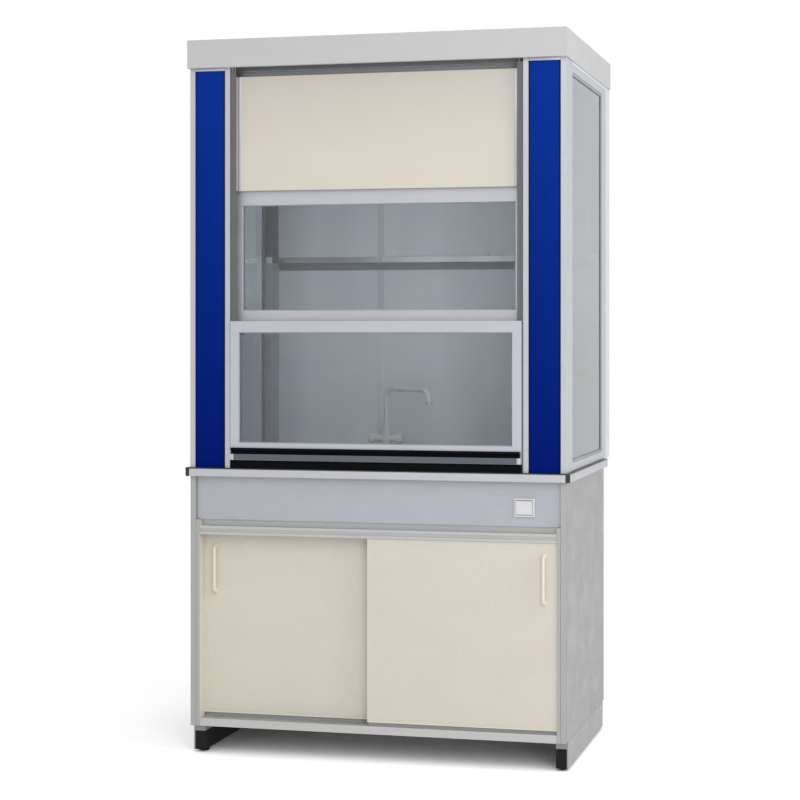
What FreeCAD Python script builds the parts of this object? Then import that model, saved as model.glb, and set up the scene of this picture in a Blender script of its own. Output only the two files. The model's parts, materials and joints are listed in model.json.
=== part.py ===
"""Glassware washing fume hood.

A base cabinet with a sink, a worktop, and a glazed upper case with two counterweighted
sashes. Millimetres, +Z up, the front looks towards -Y, and the origin is on the floor
under the middle of the hood.
"""
import FreeCAD, Part
import math
import os
import re
import Sketcher
from FreeCAD import Placement, Rotation, Vector

doc = FreeCAD.newDocument("WashingFumeHood")

# Driving dimensions. Planes are distances from the floor, the middle or the origin.
SIZES = {
    # whole hood
    "total_height": 2250, "case_half": 600, "case_front": -432, "case_rear": 449,
    "edge_break": 1, "overrun": 10,
    # canopy
    "canopy_half": 604, "canopy_half_depth": 450, "canopy_height": 88, "canopy_lip": 18,
    "canopy_sheet": 2, "roof_thick": 10, "roof_front": -403, "roof_notch": 440, "notch_rear": -365,
    "upstand_height": 40, "upstand_sheet": 2,
    "collar_radius": 100, "collar_wall": 3, "collar_y": 290, "collar_flange": 30, "collar_gap": 0.3,
    "collar_tail": 6,
    # worktop
    "worktop_half": 612.5, "worktop_front": -446, "worktop_rear": 326, "worktop_top": 905,
    "worktop_thick": 27, "surface_thick": 3, "edging_width": 12.5, "cap_round": 4,
    # front pillars, their covers and the sash tracks
    "pillar_inner": 468, "pillar_depth": 112, "pillar_wall": 3, "strip_inner": 16.5,
    "strip_outer": 17, "strip_depth": 9, "cover_depth": 6, "cover_lip": 10, "cover_gap": 0.5,
    "cover_crown": 2, "cover_curve": 600,
    "track_base": 3, "track_fin": 4, "front_fin_y": -428, "front_fin_reach": 16,
    "rear_fin_y": -386, "rear_fin_reach": 19, "track_rear": -372,
    # sashes
    "sash_depth": 22, "fin_clearance": 1, "glass_sash": 5,
    "lower_front": -441, "lower_half": 464, "lower_stile": 28, "lower_bottom": 931,
    "lower_top": 1366, "lower_top_rail": 35, "lower_bottom_rail": 54, "lower_glass_y": -434.5,
    "lower_glass_seat": 6,
    "upper_front": -397, "upper_half": 460, "upper_stile": 22, "upper_bottom": 1335,
    "upper_top": 1775, "upper_top_rail": 44, "upper_bottom_rail": 64, "upper_glass_y": -394.5,
    "upper_glass_seat": 5,
    "grip_low": 932, "grip_high": 970, "grip_reach": 8, "grip_wall": 2, "grip_half": 462,
    "mouth_low": 950, "mouth_high": 962, "stop_inner": 438, "upper_stop_height": 12,
    # fixed front panel between the tracks
    "panel_front": -415, "panel_thick": 12, "panel_top": 2134,
    # pulleys, cables and counterweights
    "pulley_x": 490, "pulley_z": 2206.5, "pulley_pitch": 36, "pulley_flange": 39,
    "pulley_width": 14, "pulley_rim": 2, "pulley_groove": 2, "pulley_gap": 1,
    "lower_cable_y": -421.5, "upper_cable_y": -379.5,
    "cable_radius": 1.5, "cable_clearance": 0.3, "axle_radius": 5, "axle_clearance": 0.05,
    "bracket_sheet": 3, "bracket_rear": -330, "bracket_gap": 0.5, "cable_hole": 6,
    "cheek_sheet": 2.5, "cheek_half": 20, "cheek_rise": 57,
    "weight_inner": 498, "weight_outer": 569, "weight_top": 2100,
    "lower_weight_y": -424.5, "lower_weight_depth": 28, "lower_weight_length": 340,
    "upper_weight_y": -392, "upper_weight_depth": 40, "upper_weight_length": 246,
    # glazed sides, rear posts, plenum and baffles
    "side_rail_depth": 25, "side_sill": 25, "side_head": 22, "side_glass_thick": 6,
    "side_glass_out": 5, "gasket_width": 10, "gasket_depth": 12, "gasket_out": 2,
    "gasket_bite": 4, "rear_post_width": 40, "rear_post_front": 283, "baffle_y": 365,
    "rear_post_wall": 3, "plenum_wall": 3, "plenum_flange": 25, "baffle_thick": 4,
    "baffle_half": 596, "baffle_low": 925, "slot_low": 1547, "slot_high": 1573.5,
    "baffle_top": 2105, "seam_x": -185, "seam_gap": 2, "slot_lip": 12, "slot_lip_height": 19.5, "lip_gap": 3,
    "batten_width": 60,
    # ceiling lamp
    "lamp_half": 300, "lamp_y": -180, "lamp_half_top": 60, "lamp_half_low": 45, "lamp_drop": 28,
    "diffuser_inset": 4, "diffuser_half": 30, "diffuser_drop": 20,
    # sink, drain and tap
    "bowl_half": 250, "bowl_front": -220, "bowl_rear": 180, "bowl_depth": 203, "bowl_wall": 2,
    "bowl_corner": 45, "bowl_cove": 25, "rim_width": 20, "cutout_gap": 3,
    "drain_y": -20, "drain_radius": 35, "drain_gap": 0.5, "drain_flange": 42, "flange_thick": 2,
    "strainer_plate": 4, "strainer_wall": 2, "strainer_hole": 4, "strainer_pitch": 20,
    "trap_top": 688, "trap_nut": 40, "nut_height": 16, "trap_tail": 20, "bottle_radius": 45,
    "bottle_top": 630, "bottle_low": 505, "bottle_cove": 12, "bottle_shoulder": 6, "waste_z": 590,
    "waste_end": 345, "waste_wall": 1, "spigot_length": 50, "spigot_bite": 5,
    "tap_x": -133, "tap_y": 232, "tap_hole": 17, "tap_base": 26, "base_rim": 4, "base_slope": 3,
    "base_height": 9, "tap_column": 16, "column_edge": 3, "tap_socket_z": 998, "valve_z": 968,
    "valve_radius": 12, "valve_reach": 34, "spindle_radius": 5, "spindle_depth": 12,
    "shank_low": 862, "tap_nut": 26, "nut_gap": 4, "manifold_height": 14, "manifold_wall": 3,
    "inlet_radius": 10.5, "inlet_x": 30, "inlet_low": 822,
    "spout_radius": 9, "spout_axis_z": 1138, "spout_reach": 219, "spout_bend": 30,
    "spout_turn": -35, "nozzle_radius": 11, "nozzle_length": 22, "nozzle_tip": 1090,
    "sleeve_height": 14, "knob_radius": 17, "knob_length": 24, "knob_edge": 4, "knob_gap": 1,
    "knob_flute": 4, "flute_out": 1,
    # base cabinet
    "cabinet_front": -430, "cabinet_rear": 324, "base_top": 90, "side_thick": 18,
    "floor_thick": 18, "back_thick": 12, "jamb_width": 12, "track_back": -360,
    "top_track_low": 694, "top_track_high": 741, "bottom_track_high": 115, "groove_depth": 8,
    "fascia_fin": 9, "fascia_groove": 10, "groove_step": 5, "shadow_step": 24,
    "apron_front": -420, "apron_thick": 16, "cutout_half": 150, "cutout_low": 480,
    "cutout_high": 700,
    # doors and handles
    "door_front": -426, "rear_door_front": -384, "door_thick": 16, "door_clearance": 1,
    "door_overlap": 23, "door_low": 108, "door_high": 701, "door_rebate": 8, "rebate_high": 135,
    "handle_x": 531, "handle_z": 582,
    "handle_half": 76, "handle_radius": 5, "handle_reach": 22, "handle_bend": 10,
    # switch
    "switch_x": 470.5, "switch_z": 799.5, "switch_half": 31, "switch_half_height": 28,
    "switch_proud": 8, "window_half": 26, "window_half_height": 23, "switch_box": 25,
    "switch_box_depth": 36, "rocker_half": 25, "rocker_half_height": 21, "rocker_out_top": 4.4,
    "rocker_out_middle": 2.2, "rocker_out_low": 1.6, "rocker_in_top": 0.5, "rocker_in_middle": 6.5,
    "rocker_in_low": 2.8, "trunnion_radius": 2, "trunnion_depth": 2.5, "trunnion_end": 0.5,
    "trunnion_inset": 4,
    # base rails and feet
    "foot_inner": 562, "foot_skirt": 4, "foot_low": 8, "rail_low": 68, "base_front": -397,
    "base_rear": 300, "glide_radius": 16, "glide_edge": 2, "glide_inset": 40,
}

# Planes that follow from the driving dimensions, as expressions on their names.
CASE_TOP = "(total_height - canopy_height)"
ROOF_LOW = "(total_height - canopy_height - roof_thick)"
CORE_TOP = "(worktop_top - surface_thick)"
CORE_LOW = "(worktop_top - worktop_thick)"
PILLAR_REAR = "(case_front + pillar_depth)"
SIDE_INNER = "(case_half - side_thick)"
JAMB_INNER = "(case_half - side_thick - jamb_width)"
TRACK_INNER = "(pillar_inner - track_base)"
BAFFLE_REAR = "(baffle_y + baffle_thick)"
PLENUM_INNER = "(case_half - plenum_wall)"
REAR_WALL_FRONT = "(case_rear - 2 * plenum_wall)"
SEAM_LEFT = "(seam_x - seam_gap / 2)"
SEAM_RIGHT = "(seam_x + seam_gap / 2)"
BOWL_FLOOR = "(worktop_top - bowl_depth)"

sizes = doc.addObject("Spreadsheet::Sheet", "Sizes")
for row, (alias, value) in enumerate(SIZES.items(), start=1):
    sizes.set(f"A{row}", alias)
    sizes.set(f"B{row}", str(value))
    sizes.setAlias(f"B{row}", alias)
doc.recompute()

parts = []


def sized(expression):
    """Point each dimension's name in an expression at its cell in the sheet."""
    def cell(match):
        word = match.group()
        return f"Sizes.{word}" if word in SIZES else word
    return re.sub(r"[a-z][a-z_0-9]*", cell, str(expression))


def bind(item, **properties):
    for name, expression in properties.items():
        item.setExpression(name.replace("__", "."), sized(expression))


def place(item, x="0", y="0", z="0"):
    bind(item, Placement__Base__x=x, Placement__Base__y=y, Placement__Base__z=z)


def part(item, label):
    """Make a finished object one of the hood's sub-parts."""
    item.Label = label
    parts.append(item)
    return item


def new_body(name):
    body = doc.addObject("PartDesign::Body", name)
    planes = {feature.Role: feature for feature in body.Origin.OriginFeatures}
    return body, planes


def new_sketch(body, planes, role):
    sketch = body.newObject("Sketcher::SketchObject", body.Name + "_outline")
    sketch.AttachmentSupport = (planes[role], [""])
    sketch.MapMode = "FlatFace"
    return sketch


FIRST_GUESS = 100


def outline(sketch, corners):
    """Draw a closed outline of straight edges, each corner bound to two expressions."""
    first = sketch.GeometryCount
    count = len(corners)
    turns = [2 * math.pi * i / count for i in range(count)]
    start = [Vector(FIRST_GUESS * math.cos(turn), FIRST_GUESS * math.sin(turn), 0) for turn in turns]
    for i in range(count):
        sketch.addGeometry(Part.LineSegment(start[i], start[(i + 1) % count]), False)
    for i in range(count):
        sketch.addConstraint(Sketcher.Constraint("Coincident", first + i, 2, first + (i + 1) % count, 1))
    for i, (across, along) in enumerate(corners):
        for kind, expression in (("DistanceX", across), ("DistanceY", along)):
            index = sketch.addConstraint(Sketcher.Constraint(kind, -1, 1, first + i, 1, start[i].x or 1.0))
            sketch.setExpression(f"Constraints[{index}]", sized(expression))


PLANE_OF = {"x": "YZ_Plane", "y": "XZ_Plane", "z": "XY_Plane"}


def prism(name, axis, corners, low, high, hollow=None, chamfer=None):
    """Pad a section along one axis, from its low plane to its high plane."""
    body, planes = new_body(name)
    sketch = new_sketch(body, planes, PLANE_OF[axis])
    outline(sketch, corners)
    if hollow:
        outline(sketch, hollow)
    pad = body.newObject("PartDesign::Pad", name + "_pad")
    pad.Profile = sketch
    pad.Reversed = axis == "y"
    bind(pad, Length=f"({high}) - ({low})")
    if chamfer:
        doc.recompute()
        edge = body.newObject("PartDesign::Chamfer", name + "_chamfer")
        edge.Base = (pad, [""])
        edge.UseAllEdges = True
        bind(edge, Size=chamfer)
    place(body, **{axis: low})
    return body


def block(name, x, y, z, chamfer=None):
    """A rectangular board between pairs of planes."""
    corners = [(x[0], y[0]), (x[1], y[0]), (x[1], y[1]), (x[0], y[1])]
    return prism(name, "z", corners, z[0], z[1], chamfer=chamfer)


def turned(name, profile):
    """Revolve a half section of radius and height about the vertical axis."""
    body, planes = new_body(name)
    sketch = new_sketch(body, planes, "XZ_Plane")
    outline(sketch, profile)
    revolution = body.newObject("PartDesign::Revolution", name + "_turn")
    revolution.Profile = sketch
    revolution.ReferenceAxis = (sketch, ["V_Axis"])
    revolution.Angle = 360
    return body


AIM = {"x": Rotation(Vector(0, 1, 0), 90), "y": Rotation(Vector(1, 0, 0), -90), "z": Rotation()}


def rod(name, axis, radius, length, x="0", y="0", z="0"):
    cylinder = doc.addObject("Part::Cylinder", name)
    bind(cylinder, Radius=radius, Height=length)
    cylinder.Placement = Placement(Vector(), AIM[axis])
    place(cylinder, x, y, z)
    return cylinder


def elbow(name, bend, radius, start, end, turn, x="0", y="0", z="0"):
    """A round bar bent about a point, between two angles of its own plane."""
    torus = doc.addObject("Part::Torus", name)
    bind(torus, Radius1=bend, Radius2=radius)
    torus.Angle3 = end - start
    torus.Placement = Placement(Vector(), turn.multiply(Rotation(Vector(0, 0, 1), start)))
    place(torus, x, y, z)
    return torus


def cut(name, base, *tools):
    item = doc.addObject("Part::Cut", name)
    item.Base = base
    item.Tool = tools[0] if len(tools) == 1 else group(name + "_tools", *tools)
    return item


def fuse(name, *shapes):
    item = doc.addObject("Part::MultiFuse", name)
    item.Shapes = shapes
    item.Refine = True
    return item


def group(name, *items):
    item = doc.addObject("Part::Compound", name)
    item.Links = items
    return item


def mirrored(source):
    item = doc.addObject("Part::Mirroring", source.Name + "_left")
    item.Source = source
    item.Normal = Vector(1, 0, 0)
    return item


def pair(name, source):
    """The right-hand piece and its mirror image on the left."""
    return group(name, source, mirrored(source))


# Base rails, foot rails and levelling feet
def base():
    outer = "case_half - foot_skirt"
    section = [("foot_inner", "rail_low"), (outer, "rail_low"), (outer, "foot_low"),
               ("case_half", "foot_low"), ("case_half", "base_top"), ("foot_inner", "base_top")]
    part(pair("BaseRails", prism("BaseRail", "y", section, "base_front", "base_rear")), "base_rails")

    foot = block("FootRail", ("foot_inner", outer), ("base_front", "base_rear"), ("foot_low", "rail_low"),
                 chamfer="edge_break")
    part(pair("FootRails", foot), "foot_rails")

    profile = [("0", "0"), ("glide_radius - glide_edge", "0"), ("glide_radius", "glide_edge"),
               ("glide_radius", "foot_low - glide_edge"), ("glide_radius - glide_edge", "foot_low"),
               ("0", "foot_low")]
    glides = []
    for end, y in (("Front", "base_front + glide_inset"), ("Rear", "base_rear - glide_inset")):
        glide = turned(f"Glide{end}", profile)
        place(glide, x=f"(foot_inner + {outer}) / 2", y=y)
        glides += [glide, mirrored(glide)]
    part(group("LevellingFeet", *glides), "levelling_feet")


# Cabinet boards, jambs, door tracks and apron
def cabinet():
    inner = (f"-{SIDE_INNER}", SIDE_INNER)
    board = block("CabinetSide", (SIDE_INNER, "case_half"), ("cabinet_front", "cabinet_rear"),
                  ("base_top", CORE_LOW), chamfer="edge_break")
    part(pair("CabinetSides", board), "cabinet_sides")
    jamb = block("DoorJamb", (JAMB_INNER, SIDE_INNER), ("cabinet_front", "track_back"),
                 ("base_top", "top_track_high"), chamfer="edge_break")
    part(pair("DoorJambs", jamb), "door_jambs")
    part(block("CabinetFloor", inner, ("track_back", "cabinet_rear - back_thick"),
               ("base_top", "base_top + floor_thick")), "cabinet_floor")

    back = block("BackBoard", inner, ("cabinet_rear - back_thick", "cabinet_rear"),
                 ("base_top", CORE_LOW))
    service = block("ServiceCutout", ("-cutout_half", "cutout_half"),
                    ("cabinet_rear - 2 * back_thick", "cabinet_rear + back_thick"),
                    ("cutout_low", "cutout_high"))
    part(cut("CabinetBack", back, service), "cabinet_back")

    shadow = "cabinet_front + shadow_step"
    groove = "cabinet_front + groove_step"
    fin_low = "top_track_low + fascia_fin"
    groove_high = f"{fin_low} + fascia_groove"
    fin_high = f"{groove_high} + fascia_fin"
    face = [(shadow, "top_track_high"), (shadow, fin_high), ("cabinet_front", fin_high),
            ("cabinet_front", groove_high), (groove, groove_high), (groove, fin_low),
            ("cabinet_front", fin_low)]
    tracks = [door_track("TopTrack", "top_track_low", "top_track_high", "+", "0", face),
              door_track("BottomTrack", "bottom_track_high", "base_top", "-", "door_rebate",
                         [("cabinet_front", "base_top")])]
    part(group("DoorTracks", *tracks), "door_tracks")

    panel = block("ApronPanel", inner, ("apron_front", "apron_front + apron_thick"),
                  ("top_track_high", CORE_LOW), chamfer="edge_break")
    hole = block("SwitchHole", ("switch_x - switch_box", "switch_x + switch_box"),
                 ("apron_front - apron_thick", "apron_front + 2 * apron_thick"),
                 ("switch_z - switch_box", "switch_z + switch_box"))
    part(cut("FrontApron", panel, hole), "front_apron")


def door_track(name, mouth, back, inward, rebate, face):
    """A channel with two grooves, one for each door; inward is the way into the grooves.

    Rebate is how far a door is cut back where it runs in the groove, and face is the line of
    the track's front, from its back plane to its mouth.
    """
    floor = f"{mouth} {inward} groove_depth"
    section = [("cabinet_front", mouth)]
    for front in ("door_front", "rear_door_front"):
        near = f"{front} + {rebate} - door_clearance"
        far = f"{front} + door_thick + door_clearance"
        section += [(near, mouth), (near, floor), (far, floor), (far, mouth)]
    section += [("track_back", mouth), ("track_back", back)] + face
    return prism(name, "x", section, f"-{JAMB_INNER}", JAMB_INNER)


# Sliding doors with bow handles
def door(side, front, x, handle_x):
    name = side.capitalize() + "Door"
    far = f"{front} + door_thick"
    tongue = f"{front} + door_rebate"
    section = [(front, "rebate_high"), (tongue, "rebate_high"), (tongue, "door_low"), (far, "door_low"),
               (far, "door_high"), (front, "door_high")]
    part(prism(name, "x", section, *x, chamfer="edge_break"), f"{side}_door_panel")
    stem = "(handle_reach - handle_radius - handle_bend)"
    bar = "(handle_half - handle_radius)"
    bow_y = f"{front} - {stem}"
    pieces = []
    for end, sign, start in (("Top", "+", 0), ("Low", "-", 270)):
        foot_z = f"handle_z {sign} {bar}"
        bend_z = f"handle_z {sign} ({bar} - handle_bend)"
        pieces.append(rod(f"{name}Stem{end}", "y", "handle_radius", stem, handle_x, bow_y, foot_z))
        facing = Rotation(Vector(0, 0, 1), -90).multiply(Rotation(Vector(1, 0, 0), 90))
        pieces.append(elbow(f"{name}Bend{end}", "handle_bend", "handle_radius", start, start + 90,
                            facing, handle_x, bow_y, bend_z))
    pieces.append(rod(f"{name}Grip", "z", "handle_radius", f"2 * ({bar} - handle_bend)", handle_x,
                      f"{bow_y} - handle_bend", f"handle_z - {bar} + handle_bend"))
    part(fuse(f"{name}Handle", *pieces), f"{side}_door_handle")


def doors():
    door("left", "rear_door_front", (f"-{JAMB_INNER}", "door_overlap"), "-handle_x")
    door("right", "door_front", ("-door_overlap", JAMB_INNER), "handle_x")


# Switch on the apron: a frame, and a rocker hung in it on two trunnions
def switch():
    front = "apron_front - switch_proud"
    plate = block("SwitchPlate", ("switch_x - switch_half", "switch_x + switch_half"),
                  (front, "apron_front"),
                  ("switch_z - switch_half_height", "switch_z + switch_half_height"), chamfer="edge_break")
    window = block("SwitchWindow", ("switch_x - window_half", "switch_x + window_half"),
                   (f"{front} - switch_proud", "apron_front + switch_proud"),
                   ("switch_z - window_half_height", "switch_z + window_half_height"))
    reach = "(window_half + trunnion_depth)"
    socket_reach = f"({reach} + trunnion_end)"
    pivot_y = f"{front} + trunnion_inset"
    sockets = rod("TrunnionSockets", "x", "trunnion_radius + axle_clearance", f"2 * {socket_reach}",
                  f"switch_x - {socket_reach}", pivot_y, "switch_z")
    box = block("SwitchBox", ("switch_x - switch_box", "switch_x + switch_box"),
                ("apron_front", "apron_front + switch_box_depth"),
                ("switch_z - switch_box", "switch_z + switch_box"))
    ring = cut("SwitchRing", plate, window, sockets)
    part(group("SwitchFrame", ring, box), "switch_frame")

    top = "switch_z + rocker_half_height"
    low = "switch_z - rocker_half_height"
    section = [(f"{front} - rocker_out_top", top), (f"{front} - rocker_out_middle", "switch_z"),
               (f"{front} - rocker_out_low", low), (f"{front} + rocker_in_low", low),
               (f"{front} + rocker_in_middle", "switch_z"), (f"{front} + rocker_in_top", top)]
    key = prism("RockerKey", "x", section, "switch_x - rocker_half", "switch_x + rocker_half")
    trunnions = rod("RockerTrunnions", "x", "trunnion_radius", f"2 * {reach}", f"switch_x - {reach}",
                    pivot_y, "switch_z")
    part(fuse("SwitchRocker", key, trunnions), "switch_rocker")


# Worktop with sink and tap openings
def worktop():
    core_x = ("-(worktop_half - edging_width)", "worktop_half - edging_width")
    core_y = ("worktop_front + edging_width", "worktop_rear - edging_width")
    top = ("-worktop_half", "worktop_half")
    opening = block("BowlCutout", ("-(bowl_half + cutout_gap)", "bowl_half + cutout_gap"),
                    ("bowl_front - cutout_gap", "bowl_rear + cutout_gap"),
                    (f"{CORE_LOW} - overrun", "worktop_top + overrun"))
    hole = rod("TapHole", "z", "tap_hole", "worktop_thick + 2 * overrun", "tap_x", "tap_y",
               f"{CORE_LOW} - overrun")
    core = block("CoreBoard", core_x, core_y, (CORE_LOW, CORE_TOP))
    part(cut("WorktopCore", core, opening, hole), "worktop_core")
    sheet = block("SurfaceSheet", top, ("worktop_front", "worktop_rear"), (CORE_TOP, "worktop_top"),
                  chamfer="edge_break / 2")
    part(cut("WorktopSurface", sheet, opening, hole), "worktop_surface")

    height = (CORE_LOW, CORE_TOP)
    strips = [block("EdgingFront", core_x, ("worktop_front", core_y[0]), height, chamfer="edge_break"),
              block("EdgingRear", core_x, (core_y[1], "worktop_rear"), height, chamfer="edge_break")]
    side = block("EdgingSide", (core_x[1], "worktop_half"), core_y, height, chamfer="edge_break")
    part(group("WorktopEdging", *strips, side, mirrored(side)), "worktop_edging")

    caps = []
    for end, y, outer in (("Front", ("worktop_front", core_y[0]), "worktop_front"),
                          ("Rear", (core_y[1], "worktop_rear"), "worktop_rear")):
        inner = y[1] if outer == y[0] else y[0]
        inward = "+" if outer == "worktop_front" else "-"
        corner = [(core_x[1], inner), (core_x[1], outer), ("worktop_half - cap_round", outer),
                  ("worktop_half", f"{outer} {inward} cap_round"), ("worktop_half", inner)]
        cap = prism(f"Cap{end}", "z", corner, *height)
        caps += [cap, mirrored(cap)]
    part(group("CornerCaps", *caps), "edging_corner_caps")


# Sink bowl, strainer and bottle trap
def vertical_edges(shape):
    return [f"Edge{i}" for i, edge in enumerate(shape.Edges, start=1)
            if edge.Vertexes[0].Point.z - edge.Vertexes[-1].Point.z
            and abs(edge.tangentAt(edge.FirstParameter).z) > 0.99]


def floor_edges(shape, height):
    return [f"Edge{i}" for i, edge in enumerate(shape.Edges, start=1)
            if all(abs(vertex.Point.z - height) < 0.01 for vertex in edge.Vertexes)]


def basin(name, grow, low):
    """A rounded tank from the worktop's rim down to its coved bottom."""
    body, planes = new_body(name)
    sketch = new_sketch(body, planes, "XY_Plane")
    across = f"bowl_half + {grow}"
    near = f"bowl_front - {grow}"
    far = f"bowl_rear + {grow}"
    outline(sketch, [(f"-({across})", near), (across, near), (across, far), (f"-({across})", far)])
    pad = body.newObject("PartDesign::Pad", name + "_pad")
    pad.Profile = sketch
    bind(pad, Length=f"worktop_top + bowl_wall - ({low})")
    doc.recompute()
    corners = body.newObject("PartDesign::Fillet", name + "_corners")
    corners.Base = (pad, vertical_edges(pad.Shape))
    bind(corners, Radius=f"bowl_corner + {grow}")
    doc.recompute()
    cove = body.newObject("PartDesign::Fillet", name + "_cove")
    cove.Base = (corners, floor_edges(corners.Shape, 0))
    bind(cove, Radius=f"bowl_cove + {grow}")
    place(body, z=low)
    return body


def sink():
    tank = basin("TankOuter", "bowl_wall", f"{BOWL_FLOOR} - bowl_wall")
    hollow = basin("TankInner", "0", BOWL_FLOOR)
    rim = block("BowlRim", ("-(bowl_half + rim_width)", "bowl_half + rim_width"),
                ("bowl_front - rim_width", "bowl_rear + rim_width"),
                ("worktop_top", "worktop_top + bowl_wall"))
    drain = rod("DrainHole", "z", "drain_radius", "2 * overrun", "0", "drain_y", f"{BOWL_FLOOR} - overrun")
    part(cut("SinkBowl", fuse("TankAndRim", tank, rim), hollow, drain), "sink_bowl")
    strainer()
    trap()


def strainer():
    """A perforated plate with a flange on the bowl's floor and a skirt down to the trap."""
    stub = "(drain_radius - drain_gap)"
    inside = f"({stub} - strainer_wall)"
    under = f"({BOWL_FLOOR} - strainer_plate)"
    over = f"({BOWL_FLOOR} + flange_thick)"
    plate = turned("StrainerPlate", [("0", under), (inside, under), (inside, "trap_top"), (stub, "trap_top"),
                                     (stub, BOWL_FLOOR), ("drain_flange", BOWL_FLOOR),
                                     ("drain_flange", over), ("0", over)])
    place(plate, y="drain_y")
    holes = []
    for i in range(6):
        turn = 60 * i
        holes.append(rod(f"StrainerHole{i}", "z", "strainer_hole", "2 * overrun",
                         f"strainer_pitch * cos({turn})", f"drain_y + strainer_pitch * sin({turn})",
                         f"{BOWL_FLOOR} - overrun"))
    part(cut("DrainStrainer", plate, *holes), "drain_strainer")


def trap():
    """A bottle trap under the strainer, with its waste pipe out through the cabinet's back."""
    nut_low = "(trap_top - nut_height)"
    bottle = turned("TrapBottle", [
        ("0", "bottle_low"), ("bottle_radius - bottle_cove", "bottle_low"),
        ("bottle_radius", "bottle_low + bottle_cove"), ("bottle_radius", "bottle_top - bottle_shoulder"),
        ("bottle_radius - bottle_shoulder", "bottle_top"), ("trap_tail", "bottle_top"),
        ("trap_tail", nut_low), ("trap_nut", nut_low), ("trap_nut", "trap_top"), ("0", "trap_top")])
    place(bottle, y="drain_y")
    waste = rod("WastePipe", "y", "trap_tail + waste_wall", "waste_end - spigot_length - drain_y", "0",
                "drain_y", "waste_z")
    spigot = rod("WasteSpigot", "y", "trap_tail", "spigot_length + spigot_bite", "0",
                 "waste_end - spigot_length - spigot_bite", "waste_z")
    part(fuse("DrainTrap", bottle, waste, spigot), "drain_trap")


# Swan-neck tap with two side knobs
def tap():
    body = turned("TapColumn", [
        ("0", "shank_low"), ("tap_column", "shank_low"), ("tap_column", "worktop_top"),
        ("tap_base", "worktop_top"), ("tap_base", "worktop_top + base_rim"),
        ("tap_base - base_slope", "worktop_top + base_rim + base_slope"),
        ("tap_column", "worktop_top + base_height"), ("tap_column", "tap_socket_z - column_edge"),
        ("tap_column - column_edge", "tap_socket_z"), ("0", "tap_socket_z")])
    place(body, x="tap_x", y="tap_y")
    nut = rod("TapNut", "z", "tap_nut", f"{CORE_LOW} - shank_low - nut_gap", "tap_x", "tap_y",
              "shank_low + nut_gap")
    valves = rod("TapValves", "x", "valve_radius", "2 * valve_reach", "tap_x - valve_reach", "tap_y",
                 "valve_z")
    spindle_end = "(valve_reach + knob_gap + spindle_depth)"
    spindles = rod("TapSpindles", "x", "spindle_radius", f"2 * {spindle_end}", f"tap_x - {spindle_end}",
                   "tap_y", "valve_z")
    across = "(inlet_x + inlet_radius + manifold_wall)"
    depth = "(inlet_radius + manifold_wall)"
    manifold = block("TapManifold", (f"tap_x - {across}", f"tap_x + {across}"),
                     (f"tap_y - {depth}", f"tap_y + {depth}"), ("shank_low - manifold_height", "shank_low"))
    inlets = [rod(f"TapInlet{side}", "z", "inlet_radius", "shank_low - manifold_height / 2 - inlet_low",
                  f"tap_x {sign} inlet_x", "tap_y", "inlet_low")
              for side, sign in (("Hot", "-"), ("Cold", "+"))]
    part(fuse("TapBody", body, nut, valves, spindles, manifold, *inlets), "tap_body")
    spout()
    knob("hot", "-", -90)
    knob("cold", "+", 90)


def spout():
    level = "spout_axis_z - spout_bend"
    upright = Rotation(Vector(1, 0, 0), 90)
    far = "spout_reach - spout_bend"
    neck = fuse(
        "TapSpout",
        rod("SpoutSleeve", "z", "tap_column - column_edge", "sleeve_height", z="tap_socket_z"),
        rod("SpoutRiser", "z", "spout_radius", f"{level} - tap_socket_z", z="tap_socket_z"),
        elbow("SpoutBendNear", "spout_bend", "spout_radius", 90, 180, upright, "spout_bend", "0", level),
        rod("SpoutArm", "x", "spout_radius", f"{far} - spout_bend", "spout_bend", "0", "spout_axis_z"),
        elbow("SpoutBendFar", "spout_bend", "spout_radius", 0, 90, upright, far, "0", level),
        rod("SpoutDrop", "z", "spout_radius", f"{level} - nozzle_tip", "spout_reach", "0", "nozzle_tip"),
        rod("SpoutNozzle", "z", "nozzle_radius", "nozzle_length", "spout_reach", "0", "nozzle_tip"))
    neck.Placement = Placement(Vector(), Rotation(Vector(0, 0, 1), SIZES["spout_turn"]))
    place(neck, "tap_x", "tap_y")
    part(neck, "tap_spout")


def knob(label, sign, turn):
    """A fluted knob on the valve's spindle; sign is its side of the tap."""
    name = label.capitalize()
    bore = "spindle_radius + axle_clearance"
    bore_end = "spindle_depth + knob_gap"
    blank = turned(f"Knob{name}", [
        (bore, "0"), ("knob_radius - knob_edge", "0"), ("knob_radius", "knob_edge"),
        ("knob_radius", "knob_length - knob_edge"), ("knob_radius - knob_edge", "knob_length"),
        ("0", "knob_length"), ("0", bore_end), (bore, bore_end)])
    pitch = "(knob_radius + flute_out)"
    flutes = []
    for i in range(5):
        angle = 72 * i
        flutes.append(rod(f"Flute{name}{i}", "z", "knob_flute", "knob_length + 2 * flute_out",
                          f"{pitch} * cos({angle})", f"{pitch} * sin({angle})", "-flute_out"))
    fluted = cut(f"FlutedKnob{name}", blank, *flutes)
    fluted.Placement = Placement(Vector(), Rotation(Vector(0, 1, 0), turn))
    place(fluted, f"tap_x {sign} (valve_reach + knob_gap)", "tap_y", "valve_z")
    part(fluted, f"tap_knob_{label}")


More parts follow.
